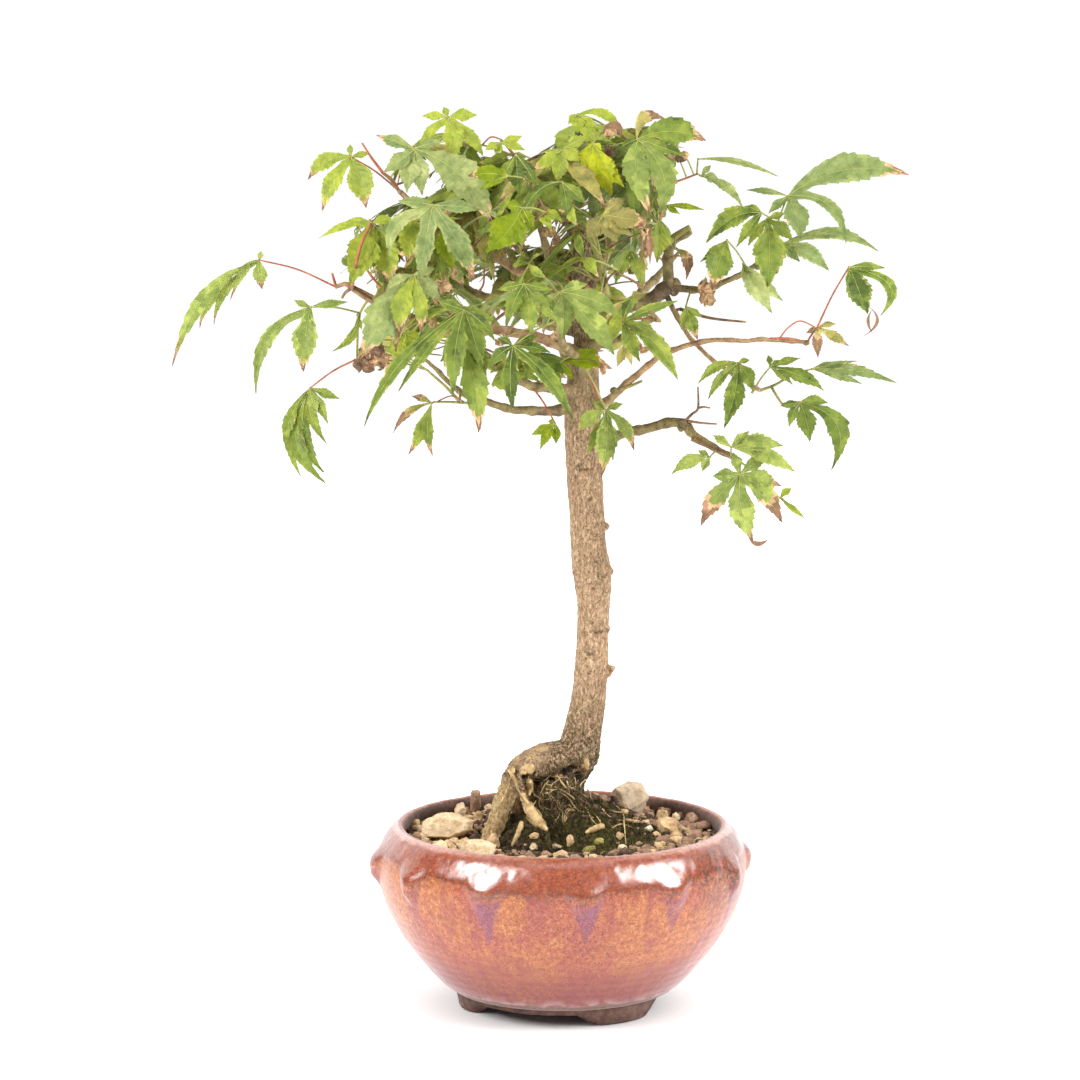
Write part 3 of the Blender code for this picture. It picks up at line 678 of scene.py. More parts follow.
BOUGHS = {
    "bough_low_left": [(7, 8, 189, 1.9), (-4, 4, 188, 1.5), (-16, 0, 189, 1.2), (-24, -4, 192, 1.1), (-31, -8, 195, 0.9), (-40, -13, 204, 0.6), (-46, -17, 209, 0.4)],
    "bough_front_left": [(6, 6, 194, 1.7), (-5, -4, 196, 1.5), (-12, -12, 199, 1.4), (-19, -20, 204, 1.2), (-26, -30, 212, 0.9), (-31, -37, 219, 0.6)],
    "bough_low_right": [(8, 8, 176, 1.9), (22, 2, 182, 1.5), (37, -2, 185, 1.5), (40, -4, 182, 1.3), (47, -8, 178, 1.1), (55, -12, 174, 0.9)],
    "bough_mid_right": [(8, 7, 186, 1.6), (16, 0, 193, 1.2), (24, -4, 201, 1.0), (33, -8, 208, 0.85), (44, -10, 211, 0.75), (60, -10, 211.6, 0.65), (76, -10, 211, 0.6)],
    "bough_right": [(7, 7, 215, 3.0), (20, 4, 221, 2.4), (28, 2, 223, 2.2), (33, 0, 227.5, 2.3)],
    "stub_right": [(33, 0, 227, 1.8), (32.7, 0, 236, 1.6), (34, 0, 241, 1.3), (39.5, -2, 244.5, 1.2)],
    "bough_right_upper": [(33, 0, 227, 1.3), (43, -3, 226.5, 1.0), (50, -5, 229, 0.9), (63, -6, 236, 0.7)],
    "bough_right_lower": [(32, 1, 225, 0.9), (35, -1, 219, 0.8), (40, -3, 211, 0.7), (49, -6, 203, 0.6), (61, -10, 196, 0.6)],
    "leader_left": [(5, 10, 194, 1.8), (0, 12, 208, 1.5), (-2, 12, 221, 1.4), (-4, 9, 234, 1.2), (-7, 6, 246, 1.0), (-10, 2, 256, 0.7), (-13, -2, 265, 0.5)],
    "leader_right": [(7, 7, 224, 1.7), (13, 3, 235, 1.3), (17, 2, 244, 1.1), (20, 0, 254, 1.0), (22, -3, 263, 0.7), (24, -6, 270, 0.5)],
    "bough_upper_left": [(6, 6, 216, 2.0), (-5, -4, 227, 1.8), (-18, -11, 236, 1.5), (-32, -14, 243, 1.2), (-49, -12, 257, 0.6)],
    "bough_mid_left": [(7, 7, 205, 1.9), (-8, -6, 212, 1.6), (-22, -13, 215, 1.4), (-37, -14, 215, 1.2), (-64, -6, 227, 0.9)],
    "bough_back_left": [(7, 8, 212, 1.9), (-9, 28, 214, 1.5), (-25, 44, 220, 1.2), (-40, 50, 225, 0.5)],
    "bough_back_right": [(8, 8, 209, 1.9), (20, 30, 217, 1.5), (31, 50, 226, 1.2), (38, 56, 233, 0.5)],
    "bough_back": [(7, 8, 196, 1.9), (3, 30, 198, 1.5), (0, 52, 203, 1.2), (-2, 64, 212, 0.5)],
    "bough_front": [(7, 7, 200, 1.7), (6, -20, 206, 1.3), (0, -42, 214, 1.1), (-2, -56, 224, 0.45)],
    "bough_front_right": [(8, 7, 208, 1.7), (18, -20, 213, 1.3), (26, -40, 221, 1.1), (29, -52, 222, 0.45)],
    "bough_back_top": [(7, 7, 228, 1.6), (5, 24, 236, 1.3), (2, 38, 244, 1.0), (1, 42, 254, 0.45)],
}


def frames(run):
    """Side and other unit vectors along a run, without twist."""
    d = np.gradient(run, axis=0)
    d /= np.linalg.norm(d, axis=1)[:, None]
    side = np.zeros_like(run)
    s = np.array([0.0, 1.0, 0.0]) if abs(d[0][1]) < 0.9 else np.array([1.0, 0.0, 0.0])
    for i in range(len(run)):
        s = unit(s - d[i] * (s @ d[i]))
        side[i] = s
    return side, np.cross(d, side), d


def tube(run, radius, sides, relief=None):
    """A closed tube along a run; relief(along, round, points) gives a lift in mm."""
    side, other, _ = frames(run)
    turn = np.linspace(0, 2 * pi, sides, endpoint=False)
    ring = side[:, None] * np.cos(turn)[None, :, None] + other[:, None] * np.sin(turn)[None, :, None]
    r = np.repeat(np.asarray(radius, float)[:, None], sides, 1)
    pts = run[:, None] + ring * r[..., None]
    if relief is not None:
        lift = relief(np.repeat(np.arange(len(run))[:, None], sides, 1), turn, pts)
        pts = run[:, None] + ring * (r + lift)[..., None]
    f = grid_faces(len(run), sides, True)
    n = len(run) * sides
    k = np.arange(sides)
    m = (k + 1) % sides
    top = (len(run) - 1) * sides
    f = np.vstack([f, np.stack([m, k, np.full(sides, n)], 1), np.stack([top + k, top + m, np.full(sides, n + 1)], 1)])
    return np.vstack([pts.reshape(-1, 3), run[:1], run[-1:]]), f


def ball(centre, size, levels=2):
    """A small uneven lump as points and triangles."""
    verts, faces = ICO[levels]
    return centre + verts * size, faces


CORE = []  # lumps and roots of the old wood: centre and half sizes


def on_wood(px, py, lift=0.4):
    """The place on the old wood or the soil that shows at a place of the picture."""
    depth = np.linspace(-50, 34, 421)
    near, far = at(px, py, -50.0), at(px, py, 34.0)
    line = near + (far - near) * ((depth + 50) / 84)[:, None]
    core = np.array(CORE)
    inner = (((line[:, None, :] - core[None, :, :3]) / core[None, :, 3:]) ** 2).sum(2).min(1) < 1
    inner |= line[:, 2] < soil_height(line[:, 0], line[:, 1])
    k = int(np.argmax(inner)) if inner.any() else len(depth) - 1
    return line[k] - np.array([0, lift, -0.3 * lift])


def make_ico():
    import bmesh

    out = {}
    for level in (1, 2, 3):
        bm = bmesh.new()
        bmesh.ops.create_icosphere(bm, subdivisions=level, radius=1.0)
        bm.verts.ensure_lookup_table()
        out[level] = (np.array([v.co[:] for v in bm.verts]), np.array([[v.index for v in f.verts] for f in bm.faces]))
        bm.free()
    return out


ICO = make_ico()
NETWORK = []  # every place on a limb or twig: x, y, z, radius


def remember(run, radius):
    NETWORK.append(np.column_stack([run, radius]))


def nearest(p, reach=1e9, clear=0.0):
    """The closest place on the limbs and twigs made so far."""
    pts = np.concatenate(NETWORK)
    d = np.linalg.norm(pts[:, :3] - p, axis=1) - pts[:, 3]
    i = int(np.argmin(d))
    return pts[i], float(d[i])


def remeshed(points, faces, voxel):
    """The joined skin of several closed, overlapping forms."""
    mesh = bpy.data.meshes.new("skin")
    mesh.from_pydata(points.tolist(), [], faces.tolist())
    obj = bpy.data.objects.new("skin", mesh)
    scene.collection.objects.link(obj)
    mod = obj.modifiers.new("remesh", "REMESH")
    mod.mode = "VOXEL"
    mod.voxel_size = voxel
    mod.adaptivity = 0.0
    smoother = obj.modifiers.new("ease", "SMOOTH")
    smoother.factor, smoother.iterations = 0.5, 4
    dg = bpy.context.evaluated_depsgraph_get()
    done = obj.evaluated_get(dg)
    out = done.to_mesh()
    pts = np.zeros(len(out.vertices) * 3)
    out.vertices.foreach_get("co", pts)
    out.calc_loop_triangles()
    tri = np.zeros(len(out.loop_triangles) * 3, np.int32)
    out.loop_triangles.foreach_get("vertices", tri)
    normals = np.zeros(len(out.vertices) * 3)
    out.vertices.foreach_get("normal", normals)
    done.to_mesh_clear()
    bpy.data.objects.remove(obj, do_unlink=True)
    bpy.data.meshes.remove(mesh)
    return pts.reshape(-1, 3), tri.reshape(-1, 3), normals.reshape(-1, 3)


def make_trunk():
    heap = Heap()
    run = spline(TRUNK, 200)
    remember(run[90:, :3], run[90:, 3])
    pts, f = tube(run[:, :3], run[:, 3], 40)
    heap.add(pts, f)
    CORE.extend([(*q[:3], q[3], q[3], q[3]) for q in run[:60:2]])
    for name, stations in ROOTS.items():
        r = spline(stations, 70)
        CORE.extend([(*q[:3], q[3], q[3], q[3]) for q in r[::2]])
        pts, f = tube(r[:, :3], r[:, 3], 24)
        heap.add(pts, f)
    # lumps of the old root crown, knots, a ring and a cut stub on the trunk
    for x, y, z, a, b, c in (
        (-3, 6, 77, 7.5, 6.5, 5.4), (-8.6, 4, 75.4, 6.0, 6.0, 4.8), (-12.6, 2, 72.4, 3.9, 4.4, 4.2), (-1, 8, 70, 6.6, 7.0, 6.5),
        (1.6, 6, 66, 5.0, 5.5, 6.5), (0.6, 8, 62, 6.5, 6.0, 7.0), (-4.5, 4, 65, 6.0, 5.0, 6.5), (1.0, 14, 66, 5.6, 7, 9.0),
        (5.0, 8, 136.6, 1.9, 2.0, 1.5), (14.4, 7, 137.0, 2.0, 2.2, 1.7), (13.4, 8, 151.0, 1.7, 1.8, 1.3),
        (13.8, 9, 118.4, 1.7, 1.9, 1.2), (16.2, 9.4, 105.8, 0.9, 1.0, 0.8), (15.0, 9.8, 105.2, 1.5, 1.5, 1.4), (13.6, 10, 104.4, 2.4, 2.2, 2.2), (-11.8, 4.5, 64.0, 4.4, 4.6, 7.2),
    ):
        pts, f = ball(np.array([x, y, z], float), np.array([a, b, c], float), 3)
        heap.add(pts, f)
        if z < 90:
            CORE.append((x, y, z, a, b, c))
    for name, stations in BOUGHS.items():
        # a swollen collar where each bough leaves the trunk
        a, b = np.array(stations[0], float), np.array(stations[1], float)
        reach = a + (b - a) * min(1.0, 9.0 / np.linalg.norm((b - a)[:3]))
        r = np.linspace(a, reach, 8)
        pts, f = tube(r[:, :3], r[:, 3] * np.linspace(1.55, 0.96, 8), 16)
        if name not in ("stub_right", "bough_right_upper", "bough_right_lower"):
            heap.add(pts, f)
    pts, f = heap.arrays()
    pts, tri, normal = remeshed(pts, f, 0.42)

    # relief of the bark: long fissures, plates and rings, coarser on the old root
    axis = spline(TRUNK, 200)
    centre = np.stack([np.interp(pts[:, 2], axis[:, 2], axis[:, k]) for k in range(2)], 1)
    away = np.linalg.norm(pts[:, :2] - centre, axis=1)
    upright = smooth((pts[:, 2] - 72) / 16)
    long = fractal(pts * np.array([0.9, 0.9, 0.18]) + 3, 3)
    plates = fractal(pts * np.array([0.5, 0.5, 0.33]) + 31, 3)
    fine = fractal(pts * np.array([1.5, 1.5, 0.9]) + 77, 2)
    rings = np.exp(-(((pts[:, 2] - 170.8) / 0.7) ** 2)) + 0.7 * np.exp(-(((pts[:, 2] - 131.0) / 0.8) ** 2)) + 0.5 * np.exp(-(((pts[:, 2] - 160.5) / 0.6) ** 2))
    lift = upright * (0.09 * long + 0.10 * plates + 0.11 * fine + 0.28 * rings)
    lift += (1 - upright) * (0.55 * plates + 0.25 * fine + 0.2 * np.abs(long))
    thin = np.clip(np.where(pts[:, 2] > 150, away / 5.0, 1.0), 0.25, 1.0)
    pts = pts + normal * (lift * thin)[:, None]

    moss = smooth((74.5 - pts[:, 2] + 2.0 * plates) / 4.5) * smooth((pts[:, 0] + 13) / 4) * np.clip(0.95 + 0.5 * plates, 0, 1)
    moss = np.maximum(moss, 0.60 * smooth((plates - 0.05) / 0.4) * smooth((86 - pts[:, 2]) / 12) * smooth((pts[:, 0] + 12) / 8))
    # painted shade: the bark darkens upwards and more so inside the crown, and dark spots are painted at the knots and
    # notches listed below
    painted_shade_and_knots = np.maximum(0.75 * smooth((pts[:, 2] - 196 + 6 * plates) / 14), 0.20 * smooth((pts[:, 2] - 128) / 40))
    for px, py, y, a, b in (
        (569, 575, 3.0, 2.0, 1.6), (572, 571, 1.0, 2.4, 0.8), (603, 577, 2.0, 1.6, 1.1), (601, 563, 2.0, 2.6, 0.5), (609, 634, 4.0, 1.2, 1.6),
        (601, 633, 4.0, 3.6, 0.5), (586, 470, 2.5, 3.2, 0.6), (580, 466, 2.5, 1.4, 0.9), (612, 677, 4.0, 1.6, 1.4), (604, 520, 2.0, 1.0, 0.8),
        (590, 500, 2.0, 0.8, 0.8), (580, 610, 3.0, 0.9, 0.9), (594, 590, 2.0, 0.8, 0.7), (590, 655, 4.0, 0.9, 0.8), (583, 540, 2.0, 0.8, 0.8),
    ):
        off = (pts - at(px, py, y)) / (a, 4.0, b)
        painted_shade_and_knots = np.maximum(painted_shade_and_knots, 0.9 * smooth(1.5 - np.linalg.norm(off, axis=1) + 0.4 * fine))
    green = smooth((pts[:, 2] - 172 + 12 * plates) / 26) * 0.40 + 0.35 * smooth((plates - 0.35) / 0.3) * smooth((150 - pts[:, 2]) / 30)
    scars, hollows_painted_dark = np.zeros(len(pts)), np.zeros(len(pts))
    for px, py, a, b in ((526, 768, 1.6, 1.0), (523, 772, 0.8, 0.7), (530, 788, 1.0, 2.2), (586, 765, 1.0, 2.2), (531, 757, 1.2, 0.5), (541, 748, 2.0, 0.7), (516, 758, 0.6, 1.2)):
        off = (pts - on_wood(px, py, 0.0)) / (a, 2.6, b)
        scars = np.maximum(scars, smooth(1.5 - np.linalg.norm(off, axis=1) + 0.7 * fine))
    # hollows: pressed in a little and painted near black, a painted shade in the recesses
    for px, py, a, b in ((571, 769, 2.2, 1.1), (565, 772, 1.4, 0.9), (524, 777, 0.7, 0.9), (533, 773, 0.7, 0.6), (536, 781, 1.2, 0.8), (549, 779, 1.6, 0.7), (577, 777, 1.4, 1.4)):
        off = (pts - on_wood(px, py, 0.0)) / (a, 3.0, b)
        hollows_painted_dark = np.maximum(hollows_painted_dark, smooth(1.6 - np.linalg.norm(off, axis=1) + 0.5 * fine))
    hollows_painted_dark *= 1 - scars
    pts = pts - normal * (0.9 * hollows_painted_dark)[:, None]
    carrot = spline(ROOTS["root_front"], 60)
    near = np.full(len(pts), 99.0)
    for x, y, z, r_ in carrot:
        near = np.minimum(near, np.linalg.norm(pts - (x, y, z), axis=1) - r_)
    sunk = smooth((1.0 - near) / 0.6) * smooth((61.4 - pts[:, 2] + 0.8 * plates) / 1.2)
    pts = pts - normal * (0.5 * sunk)[:, None]
    moss = np.maximum(moss, sunk)
    carrot = smooth((0.7 - near) / 0.6) * smooth((pts[:, 2] - 60.3 - 0.8 * plates) / 1.2) * smooth((70 - pts[:, 2]) / 4)
    leg = smooth((pts[:, 0] + 12) / -5) * smooth((74 - pts[:, 2]) / 6)
    wood = np.maximum(np.maximum(scars, 0.95 * leg * np.clip(0.85 + fine, 0, 1)), 0.75 * carrot * np.clip(0.9 + fine, 0, 1))
    warm = smooth((long + 0.5 * fine) / 0.8)
    old = smooth((106 - pts[:, 2] + 5 * plates) / 28) * (1 - 0.85 * smooth((pts[:, 2] - 73) / 5) * smooth((-2 - pts[:, 0] + 2 * plates) / 6))
    old = np.clip(old + 0.25 * smooth((plates - 0.1) / 0.5), 0, 1) * (1 - wood)
    piece(
        "trunk_bark", pts, tri, bark_material(), True,
        ("trunk", "root_left", "root_front", "root_back"),
        attrs={"moss": np.clip(moss, 0, 1) * (1 - wood), "green": np.clip(green, 0, 1), "wood": wood, "painted_shade_and_knots": painted_shade_and_knots, "pink": warm, "old": old, "hollow_painted_dark": hollows_painted_dark},
    )


def limb_relief(seed, depth):
    def lift(_, turn, pts):
        flat = pts.reshape(-1, 3)
        n = fractal(flat * np.array([0.9, 0.9, 0.9]) + seed, 2).reshape(pts.shape[:2])
        return depth * n

    return lift


def make_boughs():
    heap = Heap()
    tones = []
    warm_of = {"bough_mid_right": 0.55, "bough_right_lower": 0.6, "bough_upper_left": 0.5, "bough_mid_left": 0.7, "leader_right": 0.3, "bough_back": 0.4}
    rng = random.Random(5)
    for k, (name, stations) in enumerate(BOUGHS.items()):
        length = sum(np.linalg.norm(np.subtract(a[:3], b[:3])) for a, b in zip(stations, stations[1:]))
        steps = max(20, int(length / 0.8))
        run = spline(stations, steps)
        # a gentle zigzag from bud to bud, with a swelling at each
        s = np.linspace(0, length, steps)
        node = 0.5 + 0.5 * np.cos(s / rng.uniform(7.5, 9.5) * 2 * pi)
        radius = run[:, 3] * (1 + 0.22 * node**6 * smooth(s / 8))
        away = fractal(np.column_stack([s / 9.0, np.full(steps, k * 3.7), np.zeros(steps)]), 2)
        sway = smooth(s / 12) * smooth((length - s) / 6 + 0.3) * 0.5
        xyz = run[:, :3] + np.column_stack([0 * s, away * sway * 0.6, away * sway])
        remember(xyz[3:], radius[3:])
        pts, f = tube(xyz, radius, 12, limb_relief(k * 5.1, 0.11))
        heap.add(pts, f)
        far = np.append(np.repeat(smooth(s / 26), 12), [0, 1])
        tones.append(warm_of.get(name, 0.12) * (0.25 + 0.75 * far))
    # the dark knot, buds and spurs that show on the right-hand boughs
    for px, py, y, a, b, c in (
        (676, 286, 0, 1.6, 1.5, 2.6), (674, 292, 0, 1.4, 1.4, 1.4), (684, 424, -3, 1.7, 1.6, 1.7), (681, 428, -3, 1.2, 1.2, 1.2),
        (758, 266, -6, 1.9, 1.2, 1.2), (806, 343, -10, 1.1, 1.0, 0.8), (668, 350, -8, 1.2, 1.1, 1.1), (614, 391, -1, 1.3, 1.2, 1.3),
    ):
        pts, f = ball(at(px, py, y), np.array([a, b, c], float), 3)
        pts = pts + (fractal(pts * 0.9, 2) * 0.28)[:, None] * unit(np.array([0.3, -0.8, 0.5]))
        heap.add(pts, f)
        tones.append(np.zeros(len(pts)))
    pts, f = heap.arrays()
    # darker bark: the dark knot and spurs on the right-hand boughs, and at the first place a painted shade on the low
    # left bough near the trunk
    dark = np.zeros(len(pts))
    for px, py, y, reach in ((546, 412, 4, 4.5), (660, 290, 0, 5.0), (676, 290, 0, 4.0), (684, 424, -3, 1.8), (706, 317, -3, 5.0), (664, 304, 0, 3.0)):
        dark = np.maximum(dark, smooth(1.5 - np.linalg.norm(pts - at(px, py, y), axis=1) / reach + 0.3 * fractal(pts * 0.8, 2)))
    s = Shader("bough_bark")
    n = s.noise(330.0, 5.0, 0.6)
    col = s.ramp(n, [(0.3, srgb(80, 68, 42)), (0.46, srgb(116, 104, 60)), (0.6, srgb(136, 128, 74)), (0.75, srgb(176, 158, 108))])
    col = s.mix(s.math("MULTIPLY", s.level(s.noise(900.0, 3.0), 0.58, 0.7), 0.7), col, srgb(78, 54, 38))
    col = s.mix(s.attr("warm"), col, s.ramp(n, [(0.3, srgb(128, 84, 58)), (0.5, srgb(176, 130, 98)), (0.72, srgb(212, 170, 132))]))
    col = s.mix(s.attr("dark"), col, s.ramp(n, [(0.3, srgb(58, 44, 32)), (0.48, srgb(96, 78, 56)), (0.7, srgb(156, 132, 98))]))
    mat = s.finish(col, 0.7, s.bump(s.noise(1300.0, 4.0), 0.0005, 0.7))
    piece("boughs_bark", pts, f, mat, True, tuple(BOUGHS), attrs={"warm": np.concatenate(tones), "dark": dark})



# ================================================================ soil
SOIL_EDGE = 53.2


def mound(x, y):
    away = np.hypot((x - 1.0) / 1.15, y - 9.0)
    return 9.4 * smooth((30.0 - away) / (30.0 - 9.6))


def soil_height(x, y):
    x, y = np.atleast_1d(np.asarray(x, float)), np.atleast_1d(np.asarray(y, float))
    q = np.column_stack([x, y, np.zeros(len(x))])
    return SOIL_EDGE - 0.5 + mound(x, y) + 0.75 * fractal(q * 0.22, 3) + 0.35 * fractal(q * 0.8 + 5, 2)


def on_soil(px, py, lift=0.0):
    """The place on the soil that falls on a place in the picture."""
    v = ray(px, py)
    t = (56.0 - EYE[2]) / v[2]
    for _ in range(12):
        p = EYE + v * t
        t += (float(soil_height(p[0], p[1])[0]) + lift - p[2]) / v[2] * 0.8
    return EYE + v * t


def chip(rng, centre, size, level, rough=0.22, cuts=5):
    """A broken grain or stone: a lump with flats knocked off."""
    verts, faces = ICO[level]
    v = verts.copy()
    for _ in range(cuts):
        n = unit(rng.normal(size=3))
        over = np.clip(v @ n - rng.uniform(0.45, 0.85), 0, None)
        v -= over[:, None] * n
    v += rough * rng.uniform(-1, 1, (len(v), 1)) * v if level < 3 else 0
    q, _ = np.linalg.qr(rng.normal(size=(3, 3)))
    return centre + (v @ q) * size, faces


def rock(rng, centre, size, turn, grain=0.09, cuts=11, deep=(0.58, 0.84), flats=()):
    """A stone with flats, chipped edges and pits."""
    import bmesh

    bm = bmesh.new()
    bmesh.ops.create_icosphere(bm, subdivisions=5, radius=1.0)
    bm.verts.ensure_lookup_table()
    v = np.array([q.co[:] for q in bm.verts])
    f = np.array([[q.index for q in w.verts] for w in bm.faces])
    bm.free()
    for _ in range(cuts):
        n = unit(rng.normal(size=3) * np.array([1, 1, 0.8]))
        over = np.clip(v @ n - rng.uniform(*deep), 0, None)
        v -= over[:, None] * n * 0.96
    for n, d in flats:
        n = unit(np.array(n))
        v -= np.clip(v @ n - d, 0, None)[:, None] * n
    seed = rng.uniform(0, 50)
    v *= (1 + grain * fractal(v * 2.2 + seed, 4))[:, None]
    v *= (1 - 0.5 * grain * np.clip(fractal(v * 6 + seed, 2), 0, 1))[:, None]
    c, s_ = cos(turn), sin(turn)
    v = v / np.abs(v).max(0) * np.asarray(size)
    return centre + v @ np.array([[c, s_, 0], [-s_, c, 0], [0, 0, 1]]), f


STONES = {
    # x, y, half sizes, lift of the middle over the soil, turn, material
    "stone_grey": (21.2, 28.0, 6.9, 5.2, 6.4, 6.3, 12.0, "grey"),
    "stone_pale": (-35.0, -2.0, 9.2, 6.0, 4.8, 3.4, 8.0, "pale"),
    "stone_front": (-25.5, -26.0, 8.0, 4.6, 3.2, 1.6, -20.0, "pale"),
    "stone_tan": (33.5, 7.0, 3.4, 3.2, 3.2, 1.8, 10.0, "tan"),
    "stone_brown": (-27.6, 36.0, 2.1, 2.1, 5.0, 4.6, 20.0, "brown"),
}
FLATS = [((0.08, -0.3, 1), 0.46), ((0.75, -0.35, 0.75), 0.66), ((-0.9, -0.3, 0.5), 0.66), ((0.2, -1, 0.25), 0.5), ((-0.7, -0.8, 0.1), 0.62), ((0.9, -0.5, -0.4), 0.72)]
# smaller stones that show: picture place of the middle, width and height in pixels, kind
PEBBLES = [
    (437, 806, 15, 11, "pale"), (455, 810, 17, 17, "pale"), (476, 804, 9, 9, "pale"), (427, 838, 18, 10, "pale"),
    (451, 839, 9, 6, "white"), (466, 824, 16, 10, "tan"), (479, 819, 12, 14, "tan"), (416, 826, 13, 12, "tan"),
    (493, 843, 18, 17, "tan"), (570, 841, 9, 12, "tan"), (534, 848, 10, 9, "pale"), (555, 848, 17, 7, "pale"), (634, 849, 11, 6, "brown"), (595, 802, 9, 8, "tan"),
    (622, 849, 12, 8, "pale"), (663, 818, 15, 15, "tan"), (676, 818, 10, 13, "pale"), (649, 829, 11, 7, "white"),
    (707, 824, 7, 5, "white"), (534, 836, 11, 6, "tan"), (620, 836, 8, 8, "tan"), (447, 828, 10, 7, "tan"),
    (690, 808, 17, 13, "brown"), (697, 820, 17, 14, "brown"), (684, 826, 12, 10, "brown"), (703, 812, 10, 9, "brown"),
    (650, 797, 11, 8, "brown"), (664, 803, 12, 8, "brown"), (678, 801, 10, 8, "brown"), (464, 796, 12, 9, "brown"),
    (489, 802, 11, 8, "brown"), (499, 794, 12, 8, "brown"), (657, 835, 10, 7, "tan"), (430, 818, 8, 7, "tan"),
    (640, 815, 10, 6, "tan"), (520, 846, 9, 7, "tan"), (589, 850, 15, 6, "moss"), (600, 842, 12, 7, "moss"),
    (694, 800, 9, 7, "brown"), (712, 817, 8, 7, "brown"), (668, 838, 9, 6, "brown"), (638, 845, 10, 6, "brown"),
    (618, 806, 12, 9, "brown"), (631, 810, 13, 10, "brown"), (644, 809, 12, 9, "brown"), (654, 804, 9, 8, "dark"), (625, 812, 8, 6, "tan"),
]
ROOTLETS = [
    # picture places along each root, radius in mm
    ([(509, 770), (514, 778), (518, 786), (525, 798), (530, 806)], 0.72), ([(527, 807), (533, 815), (541, 824), (547, 831)], 1.6),
    ([(517, 788), (518, 797), (515, 809)], 0.4), ([(529, 781), (530, 788), (529, 796)], 1.15), ([(522, 823), (518, 834), (512, 846)], 0.9),
    ([(545, 784), (560, 789), (572, 797), (581, 805), (595, 815), (601, 823)], 0.42),
    ([(546, 789), (560, 792), (569, 799), (573, 805), (579, 811)], 0.34), ([(557, 775), (562, 783), (567, 788), (573, 784)], 0.40),
    ([(564, 823), (565, 814), (568, 809), (575, 808)], 0.28), ([(551, 775), (545, 780), (539, 787)], 0.32), ([(549, 780), (543, 788), (540, 796)], 0.30),
    ([(534, 794), (539, 798), (544, 800), (549, 799)], 0.32), ([(594, 793), (606, 799), (615, 805), (623, 815), (624, 823), (626, 844)], 0.42),
    ([(596, 802), (602, 809), (609, 816), (618, 820), (625, 820)], 0.32), ([(625, 820), (636, 822), (646, 823)], 0.62),
    ([(604, 826), (595, 829), (586, 833)], 1.05), ([(556, 806), (553, 812), (556, 822)], 0.26), ([(586, 779), (580, 786), (583, 794), (590, 800)], 0.28),
    ([(512, 776), (507, 790), (498, 806), (488, 817)], 0.28), ([(540, 806), (551, 811), (558, 818)], 0.26), ([(566, 791), (572, 788), (580, 793)], 0.26),
    ([(606, 806), (616, 812), (630, 812), (640, 817)], 0.28), ([(588, 812), (594, 822), (606, 829)], 0.24), ([(536, 801), (533, 806), (537, 812)], 0.28),
    ([(612, 828), (622, 824), (634, 829)], 0.26), ([(520, 800), (512, 812), (505, 828)], 0.30), ([(560, 779), (552, 785), (551, 793)], 0.24),
]


